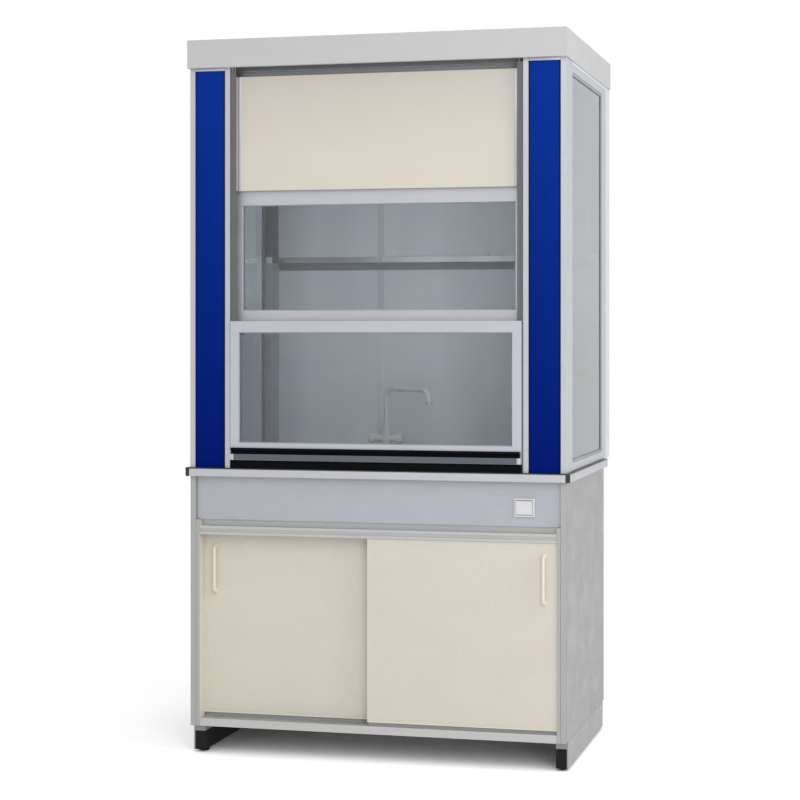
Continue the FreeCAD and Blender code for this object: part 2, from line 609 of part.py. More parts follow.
# Front pillars, covers and sash tracks
def pillars():
    strip = "pillar_inner + strip_inner"
    outer = "case_half - strip_outer"
    step = "case_front + cover_depth"
    depth = "case_front + strip_depth"
    wall_in = "pillar_inner + pillar_wall"
    wall_out = "case_half - pillar_wall"
    back = f"{PILLAR_REAR} - pillar_wall"
    section = [("pillar_inner", "case_front"), (strip, "case_front"), (strip, step),
               (f"{strip} + cover_lip", step), (f"{strip} + cover_lip", depth), (wall_in, depth),
               (wall_in, back), (wall_out, back), (wall_out, depth), (f"{outer} - cover_lip", depth),
               (f"{outer} - cover_lip", step), (outer, step), (outer, "case_front"),
               ("case_half", "case_front"), ("case_half", PILLAR_REAR), ("pillar_inner", PILLAR_REAR)]
    pillar = prism("FrontPillar", "z", section, "worktop_top", CASE_TOP)
    part(pair("FrontPillars", pillar), "front_pillars")

    slab = block("CoverSlab", (f"{strip} + cover_gap", f"{outer} - cover_gap"),
                 ("case_front - 2 * cover_crown", step), ("worktop_top", CASE_TOP))
    crown = rod("CoverCrown", "z", "cover_curve", f"{CASE_TOP} - worktop_top",
                f"(({strip}) + ({outer})) / 2", "case_front - cover_crown + cover_curve", "worktop_top")
    cover = doc.addObject("Part::MultiCommon", "PillarCover")
    cover.Shapes = [slab, crown]
    part(pair("PillarCovers", cover), "pillar_covers")

    front = ("front_fin_y - track_fin / 2", "front_fin_y + track_fin / 2")
    rear = ("rear_fin_y - track_fin / 2", "rear_fin_y + track_fin / 2")
    tip_front = f"{TRACK_INNER} - front_fin_reach"
    tip_rear = f"{TRACK_INNER} - rear_fin_reach"
    section = [("pillar_inner", "case_front"), ("pillar_inner", "track_rear"), (TRACK_INNER, "track_rear")]
    for fin, tip in ((rear, tip_rear), (front, tip_front)):
        section += [(TRACK_INNER, fin[1]), (tip, fin[1]), (tip, fin[0]), (TRACK_INNER, fin[0])]
    section.append((TRACK_INNER, "case_front"))
    part(pair("SashTracks", prism("SashTrack", "z", section, "worktop_top", ROOF_LOW)), "sash_tracks")

    fin_near = f"{front[0]} - fin_clearance"
    sill_end = f"({tip_front} - fin_clearance)"
    half_plan = [("lower_half", "lower_front"), ("lower_half", fin_near), (sill_end, fin_near),
                 (sill_end, "lower_front + sash_depth")]
    sill = prism("SashSill", "z", both_sides(half_plan), "worktop_top", "lower_bottom")
    upper = block("UpperStop", ("stop_inner", tip_rear), ("upper_front", "upper_front + sash_depth"),
                  ("upper_bottom - upper_stop_height", "upper_bottom"))
    part(group("SashStops", sill, upper, mirrored(upper)), "sash_stops")

    part(block("FrontPanel", (f"-{TRACK_INNER}", TRACK_INNER),
               ("panel_front", "panel_front + panel_thick"), ("upper_top", "panel_top"),
               chamfer="edge_break"), "upper_front_panel")


# Sashes: grooved stiles on the track fins, rails between them, glass in the grooves
def stile(name, sash, fin, fin_reach):
    outer = f"{sash}_half"
    inner = f"{sash}_half - {sash}_stile"
    near = f"{sash}_front"
    far = f"{sash}_front + sash_depth"
    slot = f"{TRACK_INNER} - {fin_reach} - fin_clearance"
    slot_near = f"{fin} - track_fin / 2 - fin_clearance"
    slot_far = f"{fin} + track_fin / 2 + fin_clearance"
    seat = f"{inner} + {sash}_glass_seat"
    pane = (f"{sash}_glass_y", f"{sash}_glass_y + glass_sash")
    section = [(inner, near), (outer, near), (outer, slot_near), (slot, slot_near), (slot, slot_far),
               (outer, slot_far), (outer, far), (inner, far), (inner, pane[1]), (seat, pane[1]),
               (seat, pane[0]), (inner, pane[0])]
    return prism(name, "z", section, f"{sash}_bottom", f"{sash}_top")


def sash_rail(name, sash, face, back, outward):
    """A rail between the stiles; face is the side that holds the glass."""
    reach = f"{sash}_half - {sash}_stile"
    near = f"{sash}_front"
    far = f"{sash}_front + sash_depth"
    seat = f"{face} {outward} {sash}_glass_seat"
    pane = (f"{sash}_glass_y", f"{sash}_glass_y + glass_sash")
    section = [(near, face), (pane[0], face), (pane[0], seat), (pane[1], seat), (pane[1], face),
               (far, face), (far, back), (near, back)]
    return prism(name, "x", section, f"-({reach})", reach)


def sash(name, fin, fin_reach):
    title = name.capitalize()
    side = stile(f"{title}Stile", name, fin, fin_reach)
    head = f"{name}_top - {name}_top_rail"
    foot = f"{name}_bottom + {name}_bottom_rail"
    top = sash_rail(f"{title}TopRail", name, head, f"{name}_top", "+")
    bottom = sash_rail(f"{title}BottomRail", name, foot, f"{name}_bottom", "-")
    part(group(f"{title}SashFrame", side, mirrored(side), top, bottom), f"{name}_sash_frame")
    across = f"{name}_half - {name}_stile + {name}_glass_seat"
    pane = block(f"{title}Glass", (f"-({across})", across),
                 (f"{name}_glass_y", f"{name}_glass_y + glass_sash"),
                 (f"{foot} - {name}_glass_seat", f"{head} + {name}_glass_seat"))
    part(pane, f"{name}_sash_glass")


def sashes():
    sash("lower", "front_fin_y", "front_fin_reach")
    sash("upper", "rear_fin_y", "rear_fin_reach")
    back = "lower_front"
    plate = f"{back} - grip_wall"
    tip = f"{back} - grip_reach"
    section = [(back, "grip_low"), (tip, "grip_low"), (tip, "mouth_low"), (plate, "mouth_low"),
               (plate, "mouth_high"), (tip, "mouth_high"), (tip, "grip_high"), (back, "grip_high")]
    part(prism("SashGrip", "x", section, "-grip_half", "grip_half"), "lower_sash_grip")


# Counterweights, pulleys on their axles, brackets and cables
def counterbalance():
    for name in ("lower", "upper"):
        title = name.capitalize()
        weight = block(f"{title}Weight", ("weight_inner", "weight_outer"),
                       (f"{name}_weight_y", f"{name}_weight_y + {name}_weight_depth"),
                       (f"weight_top - {name}_weight_length", "weight_top"), chamfer="edge_break")
        part(pair(f"{title}Weights", weight), f"{name}_sash_weights")
        for side, sign in (("right", ""), ("left", "-")):
            wheel = turned(f"{title}Pulley{side.capitalize()}", pulley_section())
            wheel.Placement = Placement(Vector(), AIM["y"])
            place(wheel, f"{sign}pulley_x", f"{name}_cable_y", "pulley_z")
            part(wheel, f"{name}_pulley_{side}")
        part(pair(f"{title}Cables", cable(title, name)), f"{name}_sash_cables")

    bracket()


def bracket():
    """A plate on the pillar's top with three cheeks that carry the pulleys' axle."""
    front = "case_front"
    between = "(lower_cable_y + upper_cable_y - bracket_sheet) / 2"
    behind = "upper_cable_y + pulley_width / 2 + pulley_gap"
    plate_top = f"{CASE_TOP} + bracket_sheet"
    across = ("pulley_x - cheek_half", "pulley_x + cheek_half")
    cheeks = [block(f"Cheek{i}", across, (y, f"{y} + cheek_sheet"), (plate_top, f"{plate_top} + cheek_rise"))
              for i, y in enumerate((front, between, behind))]
    plate = block("BracketPlate", ("pillar_inner", "canopy_half - canopy_lip - bracket_gap"),
                  (front, "bracket_rear"), (CASE_TOP, plate_top))
    length = f"{behind} + cheek_sheet - ({front})"
    bore = rod("AxleBore", "y", "axle_radius + axle_clearance", length, "pulley_x", front, "pulley_z")
    holes = [rod(f"CableHole{name.capitalize()}", "z", "cable_hole", "2 * overrun", "pulley_x + pulley_pitch",
                 f"{name}_cable_y", f"{CASE_TOP} - overrun") for name in ("lower", "upper")]
    body = cut("PulleyBracket", fuse("BracketBody", plate, *cheeks), bore, *holes)
    part(pair("PulleyBrackets", body), "pulley_brackets")
    axle = rod("PulleyAxle", "y", "axle_radius", length, "pulley_x", front, "pulley_z")
    part(pair("PulleyAxles", axle), "pulley_axles")


def pulley_section():
    half = "pulley_width / 2"
    bore = "axle_radius + axle_clearance"
    groove = "pulley_pitch - cable_radius - cable_clearance"
    return [(bore, f"-{half}"), ("pulley_flange", f"-{half}"), ("pulley_flange", f"-{half} + pulley_rim"),
            (groove, "-pulley_groove"), (groove, "pulley_groove"),
            ("pulley_flange", f"{half} - pulley_rim"), ("pulley_flange", half), (bore, half)]


def cable(title, name):
    """Up from the sash, half round the pulley and down to the weight."""
    y = f"{name}_cable_y"
    wrap = Rotation(Vector(1, 0, 0), 90)
    return fuse(f"{title}Cable",
                rod(f"{title}SashRun", "z", "cable_radius", f"pulley_z - {name}_top",
                    "pulley_x - pulley_pitch", y, f"{name}_top"),
                elbow(f"{title}Wrap", "pulley_pitch", "cable_radius", 0, 180, wrap, "pulley_x", y,
                      "pulley_z"),
                rod(f"{title}WeightRun", "z", "cable_radius", "pulley_z - weight_top",
                    "pulley_x + pulley_pitch", y, "weight_top"))


# Glazed sides, rear posts and plenum
def case():
    rail_x = ("case_half - side_rail_depth", "case_half")
    rail_y = (PILLAR_REAR, "rear_post_front")
    low = "worktop_top + side_sill"
    high = f"{ROOF_LOW} - side_head"
    sill = block("SideSill", rail_x, rail_y, ("worktop_top", low), chamfer="edge_break")
    head = block("SideHead", rail_x, rail_y, (high, ROOF_LOW), chamfer="edge_break")
    part(group("SideRails", sill, mirrored(sill), head, mirrored(head)), "side_rails")

    pane_x = ("case_half - side_glass_out - side_glass_thick", "case_half - side_glass_out")
    pane = block("SidePane", pane_x, (f"{PILLAR_REAR} + gasket_bite", "rear_post_front - gasket_bite"),
                 (f"{low} + gasket_bite", f"{high} - gasket_bite"))
    part(pair("SideGlass", pane), "side_glass")
    gasket_x = ("case_half - gasket_out - gasket_depth", "case_half - gasket_out")
    ring = block("GasketBlank", gasket_x, rail_y, (low, high))
    sight = block("GasketSight", ("case_half - 2 * gasket_depth", "case_half + gasket_depth"),
                  (f"{PILLAR_REAR} + gasket_width", "rear_post_front - gasket_width"),
                  (f"{low} + gasket_width", f"{high} - gasket_width"))
    part(pair("SideGaskets", cut("SideGasket", ring, sight, pane)), "side_gaskets")

    post = ("case_half - rear_post_width", "case_half")
    post_y = ("rear_post_front", "baffle_y")
    wall = "rear_post_wall"
    tube = prism("RearPost", "z", rectangle(post, post_y), "worktop_top", ROOF_LOW,
                 hollow=rectangle((f"{post[0]} + {wall}", f"{post[1]} - {wall}"),
                                  (f"{post_y[0]} + {wall}", f"{post_y[1]} - {wall}")))
    part(pair("RearPosts", tube), "rear_posts")

    flange = "case_half - plenum_flange"
    section = [("case_half", "baffle_y"), ("case_half", "case_rear"), (flange, "case_rear"),
               (flange, "case_rear - plenum_wall"), (PLENUM_INNER, "case_rear - plenum_wall"),
               (PLENUM_INNER, "baffle_y")]
    part(pair("PlenumSides", prism("PlenumSide", "z", section, "worktop_top", ROOF_LOW)), "plenum_sides")
    across = (f"-{PLENUM_INNER}", PLENUM_INNER)
    part(block("RearWall", across, (REAR_WALL_FRONT, "case_rear - plenum_wall"), (CORE_TOP, ROOF_LOW)),
         "rear_wall")
    part(block("PlenumFloor", across, ("worktop_rear", REAR_WALL_FRONT), (CORE_TOP, "worktop_top")),
         "plenum_floor")


def rectangle(x, y):
    return [(x[0], y[0]), (x[1], y[0]), (x[1], y[1]), (x[0], y[1])]


def both_sides(half_plan):
    """A plan that is the same left and right of the middle, from the points of its right half."""
    return half_plan + [(f"-{x}", y) for x, y in reversed(half_plan)]


# Back baffles in two halves, with the exhaust slot between lower and upper panels
def baffles():
    depth = ("baffle_y", BAFFLE_REAR)
    lip = ("baffle_y - slot_lip", "baffle_y")
    lip_end = "case_half - rear_post_width - lip_gap"
    panels = []
    for side, x, lip_x in (("Left", ("-baffle_half", SEAM_LEFT), (f"-({lip_end})", SEAM_LEFT)),
                           ("Right", (SEAM_RIGHT, "baffle_half"), (SEAM_RIGHT, lip_end))):
        panels.append(block(f"BaffleLow{side}", x, depth, ("baffle_low", "slot_low")))
        sheet = block(f"BaffleHigh{side}", x, depth, ("slot_high", "baffle_top"))
        fold = block(f"BaffleLip{side}", lip_x, lip, ("slot_high", "slot_high + slot_lip_height"))
        panels.append(fuse(f"BaffleUpper{side}", sheet, fold))
    for row, height in (("Low", ("worktop_top", "slot_low")), ("High", ("slot_high", "baffle_top"))):
        panels.append(block(f"Batten{row}", ("seam_x - batten_width / 2", "seam_x + batten_width / 2"),
                            (BAFFLE_REAR, f"{BAFFLE_REAR} + baffle_thick"), height))
    part(group("BafflePanels", *panels), "baffle_panels")


# Roof, exhaust collar, canopy and ceiling lamp
def top():
    half_plan = [("roof_notch", "roof_front"), ("roof_notch", "notch_rear"), (TRACK_INNER, "notch_rear"),
                 (TRACK_INNER, PILLAR_REAR), ("case_half", PILLAR_REAR), ("case_half", "case_rear")]
    sheet = prism("RoofSheet", "z", both_sides(half_plan), ROOF_LOW, CASE_TOP)
    upstand = block("RoofUpstand", ("-roof_notch", "roof_notch"),
                    ("roof_front", "roof_front + upstand_sheet"), (CASE_TOP, f"{CASE_TOP} + upstand_height"))
    hole = rod("RoofHole", "z", "collar_radius + collar_gap", "roof_thick + 2 * overrun", "0", "collar_y",
               f"{ROOF_LOW} - overrun")
    part(cut("RoofPanel", fuse("RoofAndUpstand", sheet, upstand), hole), "roof_panel")

    bore = "collar_radius - collar_wall"
    tail = f"{ROOF_LOW} - collar_tail"
    rim = "total_height - canopy_sheet"
    flange = "collar_radius + collar_flange"
    flange_top = f"{CASE_TOP} + flange_thick"
    collar = turned("ExhaustCollar", [
        (bore, tail), ("collar_radius", tail), ("collar_radius", CASE_TOP), (flange, CASE_TOP),
        (flange, flange_top), ("collar_radius", flange_top), ("collar_radius", rim), (bore, rim)])
    place(collar, y="collar_y")
    part(collar, "exhaust_collar")

    part(canopy_side("CanopyFront", "canopy_half", "canopy_half_depth", 0), "canopy_front")
    returns = [canopy_side("CanopyRight", "canopy_half_depth", "canopy_half", 90),
               canopy_side("CanopyRear", "canopy_half", "canopy_half_depth", 180),
               canopy_side("CanopyLeft", "canopy_half_depth", "canopy_half", 270)]
    part(group("CanopyReturns", *returns), "canopy_returns")

    low = f"{ROOF_LOW} - lamp_drop"
    housing = [("lamp_y - lamp_half_top", ROOF_LOW), ("lamp_y - lamp_half_low", low),
               ("lamp_y + lamp_half_low", low), ("lamp_y + lamp_half_top", ROOF_LOW)]
    part(prism("LampHousing", "x", housing, "-lamp_half", "lamp_half"), "lamp_housing")
    foot = f"{low} - diffuser_drop"
    bowl = [("lamp_y - lamp_half_low + diffuser_inset", low), ("lamp_y - diffuser_half", foot),
            ("lamp_y + diffuser_half", foot), ("lamp_y + lamp_half_low - diffuser_inset", low)]
    diffuser = prism("LampDiffuser", "x", bowl, "-(lamp_half - diffuser_inset)", "lamp_half - diffuser_inset")
    part(diffuser, "lamp_diffuser")


def canopy_side(name, half, front, turn):
    """A mitred channel with its lips inwards, modelled as the front side and then turned."""
    inner = f"{half} - canopy_lip"
    face = f"-{front}"
    plan = [(f"-{half}", face), (half, face), (inner, f"{face} + canopy_lip"),
            (f"-({inner})", f"{face} + canopy_lip")]
    bar = prism(f"{name}Bar", "z", plan, CASE_TOP, "total_height")
    hollow = block(f"{name}Hollow", (f"-2 * {half}", f"2 * {half}"),
                   (f"{face} + canopy_sheet", f"{face} + 2 * canopy_lip"),
                   (f"{CASE_TOP} + canopy_sheet", "total_height - canopy_sheet"))
    side = cut(name, bar, hollow)
    side.Placement = Placement(Vector(), Rotation(Vector(0, 0, 1), turn))
    return side


def check_and_export():
    doc.recompute()
    for item in doc.Objects:
        if "Invalid" in item.State or "Error" in item.State:
            raise RuntimeError(f"{item.Name} failed: {item.State}")
    os.makedirs("parts", exist_ok=True)
    for item in parts:
        if item.Shape.isNull() or not item.Shape.isValid():
            raise RuntimeError(f"{item.Label} has no valid shape")
    for item in parts:
        item.Shape.exportStep(f"parts/{item.Label}.step")
        box = item.Shape.BoundBox
        ranges = ((box.XMin, box.XMax), (box.YMin, box.YMax), (box.ZMin, box.ZMax))
        print(f"{item.Label:22s} {len(item.Shape.Solids):2d} solids",
              " ".join(f"{low:.1f}..{high:.1f}" for low, high in ranges))


for make in (base, cabinet, doors, switch, worktop, sink, tap, pillars, sashes, counterbalance, case,
             baffles, top):
    make()
check_and_export()
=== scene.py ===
"""Looks of a glassware washing fume hood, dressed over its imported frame.

Metres, in the frame's own axes: +X to the right, +Y to the back, +Z up.
"""
import json
import math

import bmesh
import bpy
from mathutils import Matrix, Vector

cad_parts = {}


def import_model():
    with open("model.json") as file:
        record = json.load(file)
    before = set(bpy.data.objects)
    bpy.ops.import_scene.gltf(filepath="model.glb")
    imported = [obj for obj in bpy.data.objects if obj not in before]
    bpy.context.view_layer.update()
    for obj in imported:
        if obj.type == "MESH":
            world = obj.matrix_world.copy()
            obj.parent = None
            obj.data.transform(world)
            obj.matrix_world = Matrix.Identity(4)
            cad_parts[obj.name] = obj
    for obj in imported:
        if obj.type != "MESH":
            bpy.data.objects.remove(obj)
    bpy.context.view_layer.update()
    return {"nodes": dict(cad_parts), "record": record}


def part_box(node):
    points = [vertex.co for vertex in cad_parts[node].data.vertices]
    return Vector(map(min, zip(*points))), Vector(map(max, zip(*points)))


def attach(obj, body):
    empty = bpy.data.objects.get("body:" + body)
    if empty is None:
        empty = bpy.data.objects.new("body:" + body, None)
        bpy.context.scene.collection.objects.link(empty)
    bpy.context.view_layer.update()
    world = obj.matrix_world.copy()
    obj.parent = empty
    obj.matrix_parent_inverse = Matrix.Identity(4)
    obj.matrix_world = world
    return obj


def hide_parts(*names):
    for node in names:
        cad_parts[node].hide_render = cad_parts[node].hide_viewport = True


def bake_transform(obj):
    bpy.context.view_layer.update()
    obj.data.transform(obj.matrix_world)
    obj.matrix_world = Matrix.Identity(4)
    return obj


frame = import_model()

MM = 0.001
UP = (0, 0, 1)
FORWARD = (0, -1, 0)
BACKWARD = (0, 1, 0)
SIDES = (-1, 1)
EVEN = (1.0, 1.0, 1.0)
FLOAT = "NodeSocketFloat"
INTEGER = "NodeSocketInt"
VECTOR = "NodeSocketVector"
MATERIAL = "NodeSocketMaterial"


class Wiring:
    """A node tree in the making, with short calls for its nodes and links."""

    def __init__(self, tree):
        self.tree = tree

    def node(self, kind, **settings):
        made = self.tree.nodes.new(kind)
        for name, value in settings.items():
            setattr(made, name, value)
        return made

    def feed(self, socket, source):
        """Link another node's socket to this one, or set its value."""
        if isinstance(source, bpy.types.NodeSocket):
            self.tree.links.new(source, socket)
        else:
            socket.default_value = source

    def math(self, operation, first, second=0.0):
        made = self.node("ShaderNodeMath", operation=operation)
        self.feed(made.inputs[0], first)
        self.feed(made.inputs[1], second)
        return made.outputs[0]

    def vector(self, operation, first, second):
        made = self.node("ShaderNodeVectorMath", operation=operation)
        self.feed(made.inputs[0], first)
        self.feed(made.inputs[1], second)
        return made.outputs["Value"] if operation == "DOT_PRODUCT" else made.outputs["Vector"]

    def split(self, vector):
        """X, Y and Z of a vector."""
        made = self.node("ShaderNodeSeparateXYZ")
        self.feed(made.inputs[0], vector)
        return made.outputs

    def spot(self):
        """The point on the surface, in the frame's own metres."""
        return self.node("ShaderNodeTexCoord").outputs["Object"]

    def remap(self, value, low, high, to_low=0.0, to_high=1.0):
        made = self.node("ShaderNodeMapRange")
        for socket, source in zip(made.inputs, (value, low, high, to_low, to_high)):
            self.feed(socket, source)
        return made.outputs["Result"]

    def mix(self, factor, first, second):
        made = self.node("ShaderNodeMix", data_type="RGBA")
        self.feed(made.inputs[0], factor)
        self.feed(made.inputs[6], first)
        self.feed(made.inputs[7], second)
        return made.outputs[2]

    def group(self, tree, **values):
        made = self.node("ShaderNodeGroup", node_tree=tree)
        for name, value in values.items():
            self.feed(made.inputs[name.capitalize()], value)
        return made.outputs


def rgb(red, green, blue):
    """A colour written as it looks on a screen, 0 to 255, in linear light."""
    def linear(value):
        share = value / 255
        return share / 12.92 if share <= 0.04045 else ((share + 0.055) / 1.055) ** 2.4
    return (linear(red), linear(green), linear(blue), 1.0)


# Effects that several finishes share

CLOUD_BAND = (0.3, 0.7)         # where most values of a noise lie
WEAR_BAND = (0.35, 0.65)
DUST_BAND = (0.25, 0.75)
DUST_CLOUD = 90 * MM
DUST_LEAST = 0.3
LEVEL_BAND = (0.6, 1.0)         # slope of what dust lies on, as the height of its normal
CORNER_BAND = (0.99, 0.8)       # how far a rounded normal leaves the flat one, as a cosine
MARKS_STRETCH = (1.0, 1.0, 0.6)


def effect(name, inputs, outputs):
    tree = bpy.data.node_groups.new(name, "ShaderNodeTree")
    for socket, (kind, value) in inputs.items():
        made = tree.interface.new_socket(socket, in_out="INPUT", socket_type=kind)
        made.default_value = value
    for socket, kind in outputs.items():
        tree.interface.new_socket(socket, in_out="OUTPUT", socket_type=kind)
    wire = Wiring(tree)
    return wire, wire.node("NodeGroupInput").outputs, wire.node("NodeGroupOutput").inputs


def noise(wire, size, stretch=EVEN, detail=3.0):
    """A cloud of the given size, drawn out along the axes by stretch."""
    made = wire.node("ShaderNodeTexNoise")
    wire.feed(made.inputs["Vector"], wire.vector("DIVIDE", wire.spot(), stretch))
    wire.feed(made.inputs["Scale"], wire.math("DIVIDE", 1.0, size))
    made.inputs["Detail"].default_value = detail
    return made.outputs["Fac"]


def make_grain():
    """Fine grain of a surface, drawn out where it was brushed."""
    wire, given, result = effect(
        "surface_grain", {"Size": (FLOAT, 0.001), "Stretch": (VECTOR, EVEN)}, {"Grain": FLOAT})
    cloud = noise(wire, given["Size"], given["Stretch"], detail=4.0)
    wire.feed(result["Grain"], wire.remap(cloud, *CLOUD_BAND))
    return wire.tree


def make_edges():
    """Where a piece turns a corner: a mask broken up by wear, and a rounded normal."""
    wire, given, result = effect(
        "worn_edges", {"Radius": (FLOAT, 0.001), "Breakup": (FLOAT, 0.02)},
        {"Mask": FLOAT, "Normal": VECTOR})
    bevel = wire.node("ShaderNodeBevel", samples=4)
    wire.feed(bevel.inputs["Radius"], given["Radius"])
    flat = wire.node("ShaderNodeNewGeometry").outputs["Normal"]
    turned = wire.remap(wire.vector("DOT_PRODUCT", bevel.outputs["Normal"], flat), *CORNER_BAND)
    patches = wire.remap(noise(wire, given["Breakup"]), *WEAR_BAND)
    wire.feed(result["Mask"], wire.math("MULTIPLY", turned, patches))
    wire.feed(result["Normal"], bevel.outputs["Normal"])
    return wire.tree


def make_dust():
    """Dust lies on what faces up, in soft patches."""
    wire, given, result = effect("settled_dust", {"Amount": (FLOAT, 0.3)}, {"Mask": FLOAT})
    height = wire.split(wire.node("ShaderNodeNewGeometry").outputs["Normal"])["Z"]
    level = wire.remap(height, *LEVEL_BAND)
    patches = wire.remap(noise(wire, DUST_CLOUD), *DUST_BAND, DUST_LEAST, 1.0)
    settled = wire.math("MULTIPLY", level, patches)
    wire.feed(result["Mask"], wire.math("MULTIPLY", settled, given["Amount"]))
    return wire.tree


def make_marks():
    """Slow changes over a surface from wiping and handling."""
    wire, given, result = effect(
        "wiping_marks", {"Size": (FLOAT, 0.12), "Low": (FLOAT, 0.3), "High": (FLOAT, 0.4)},
        {"Value": FLOAT})
    cloud = noise(wire, given["Size"], MARKS_STRETCH)
    wire.feed(result["Value"], wire.remap(cloud, *CLOUD_BAND, given["Low"], given["High"]))
    return wire.tree


GRAIN = make_grain()
EDGES = make_edges()
DUST = make_dust()
MARKS = make_marks()


# How a finish is made

FINISHES = {}                   # the finish of every material slot
DUST_COLOUR = rgb(190, 186, 178)
LAMP_COLOUR = (1.0, 0.98, 0.95, 1.0)
GLOSS_CLOUD = 0.12              # size of the changes in gloss
WEAR_CLOUD = 0.02               # size of the rubbed patches along an edge
COAT_ROUGHNESS = 0.15
FACING_SLACK = (0.3 * MM, 0.4 * MM)     # how far off its distance a face may lie

# Painted shade at the sides of the panes, for the darker view through them there
PANE_SHADE_COLOUR = rgb(24, 34, 40)
PANE_SHADE_ASIDE = (0.2, 0.46)        # distances from the middle where the painted shade starts and is full
PANE_SHADE_HEIGHTS = (1.3, 1.45)      # heights between which it goes from its low to its high value
SMEAR_CLOUD = 0.2
STREAK_SIZE = 0.25
STREAK_STRETCH = (0.6, 1.0, 2.0)
STREAK_SHADE = 0.93
GLASS_IOR = 1.5                 # index of refraction


def new_material(name):
    material = bpy.data.materials.new(name)
    material.use_nodes = True
    return material, Wiring(material.node_tree), material.node_tree.nodes["Principled BSDF"]


def shaded_by_height(wire, colour, other, heights):
    """Painted shade: another colour at the first height, which has gone at the second."""
    return wire.mix(wire.remap(wire.split(wire.spot())["Z"], *heights), other, colour)


def faced(wire, colour, other, distance, depth):
    """Another colour on upright faces at a distance from the middle, in front of a depth."""
    place = wire.split(wire.spot())
    aside = wire.math("SUBTRACT", wire.math("ABSOLUTE", place["X"]), distance)
    there = wire.remap(wire.math("ABSOLUTE", aside), *FACING_SLACK, 1.0, 0.0)
    ahead = wire.remap(place["Y"], depth, depth + MM, 1.0, 0.0)
    return wire.mix(wire.math("MULTIPLY", there, ahead), colour, other)


def finish(name, pale, dark, roughness, grain=0.0012, stretch=EVEN, bump=0.05, metallic=0.0, coat=0.0,
           wear=None, edge=0.0012, dust=0.1, mottle=0.25, cloud=0.15, height_shade=None, facing=None,
           specular=0.5, glow=0.0):
    """A finish with grain in its colour and relief, softened and worn edges, wiping marks and dust.

    Pale and dark are the ends of the colour's variation, and roughness has the ends of the gloss.
    Wear is the colour of rubbed edges; the painted shade by height and facing are what the two
    helpers above take after the colour, and glow is the strength of a lamp's light.
    """
    material, wire, shader = new_material(name)
    fine = wire.group(GRAIN, size=grain, stretch=stretch)["Grain"]
    slow = wire.group(MARKS, size=cloud, low=0.0, high=mottle)["Value"]
    colour = wire.mix(wire.math("ADD", wire.math("MULTIPLY", fine, 1.0 - mottle), slow), dark, pale)
    # Painted shade by height, where less light falls
    if height_shade:
        colour = shaded_by_height(wire, colour, *height_shade)
    if facing:
        colour = faced(wire, colour, *facing)
    corner = wire.group(EDGES, radius=edge, breakup=WEAR_CLOUD)
    if wear:
        colour = wire.mix(corner["Mask"], colour, wear)
    if dust:
        colour = wire.mix(wire.group(DUST, amount=dust)["Mask"], colour, DUST_COLOUR)
    relief = wire.node("ShaderNodeBump")
    relief.inputs["Strength"].default_value = bump
    relief.inputs["Distance"].default_value = grain
    wire.feed(relief.inputs["Height"], fine)
    wire.feed(relief.inputs["Normal"], corner["Normal"])
    gloss = wire.group(MARKS, size=GLOSS_CLOUD, low=roughness[0], high=roughness[1])["Value"]
    wire.feed(shader.inputs["Base Color"], colour)
    wire.feed(shader.inputs["Roughness"], gloss)
    wire.feed(shader.inputs["Normal"], relief.outputs["Normal"])
    shader.inputs["Metallic"].default_value = metallic
    shader.inputs["Coat Weight"].default_value = coat
    shader.inputs["Coat Roughness"].default_value = COAT_ROUGHNESS
    shader.inputs["Specular IOR Level"].default_value = specular
    if glow:
        shader.inputs["Emission Color"].default_value = LAMP_COLOUR
        shader.inputs["Emission Strength"].default_value = glow
    FINISHES[name] = material


def glass(name, tint, smear, pane_shade):
    """Float glass with smears in its gloss; the last argument is the strength of painted shade at the
    sides of the pane, low down and high up.
    """
    material, wire, shader = new_material(name)
    gloss = wire.group(MARKS, size=SMEAR_CLOUD, low=0.0, high=smear)["Value"]
    streak = wire.group(GRAIN, size=STREAK_SIZE, stretch=STREAK_STRETCH)["Grain"]
    shaded = tuple(STREAK_SHADE * share for share in tint[:3]) + (1.0,)
    place = wire.split(wire.spot())
    # Painted shade: darker towards the sides of the pane, by height
    aside = wire.remap(wire.math("ABSOLUTE", place["X"]), *PANE_SHADE_ASIDE)
    shade_mask = wire.math("MULTIPLY", aside, wire.remap(place["Z"], *PANE_SHADE_HEIGHTS, *pane_shade))
    wire.feed(shader.inputs["Base Color"], wire.mix(shade_mask, wire.mix(streak, shaded, tint), PANE_SHADE_COLOUR))
    wire.feed(shader.inputs["Roughness"], gloss)
    shader.inputs["Metallic"].default_value = 0.0
    shader.inputs["Transmission Weight"].default_value = 1.0
    shader.inputs["IOR"].default_value = GLASS_IOR
    FINISHES[name] = material


# The finishes; grain is drawn out along the way that a surface was brushed

UPRIGHT = (1.0, 1.0, 60.0)
ACROSS = (60.0, 1.0, 1.0)
BOARD = (1.0, 1.0, 3.0)

# Satin powder coat of the canopy
finish("fascia_paint", rgb(202, 202, 202), rgb(194, 194, 195), (0.42, 0.5), bump=0.06,
       wear=rgb(220, 220, 220))

# Satin anodised aluminium, greyer below the worktop, where the grey is painted shade
finish("anodised", rgb(192, 194, 200), rgb(180, 182, 188), (0.36, 0.46), grain=0.0006, metallic=0.5,
       bump=0.04, wear=rgb(214, 215, 219), height_shade=(rgb(184, 184, 183), (0.76, 0.87)))

# Blue covers of the pillars, darker towards the foot as painted shade of light from above, and darker in
# patches along their edges
finish("blue_cover", rgb(12, 54, 152), rgb(8, 46, 140), (0.42, 0.5), grain=0.0015, stretch=UPRIGHT,
       bump=0.03, specular=0.02, wear=rgb(10, 40, 116), edge=0.004, dust=0.0,
       height_shade=(rgb(2, 25, 112), (0.9, 2.1)))

# Matt black corner caps
finish("track_black", rgb(30, 30, 34), rgb(18, 18, 22), (0.5, 0.62), bump=0.12)

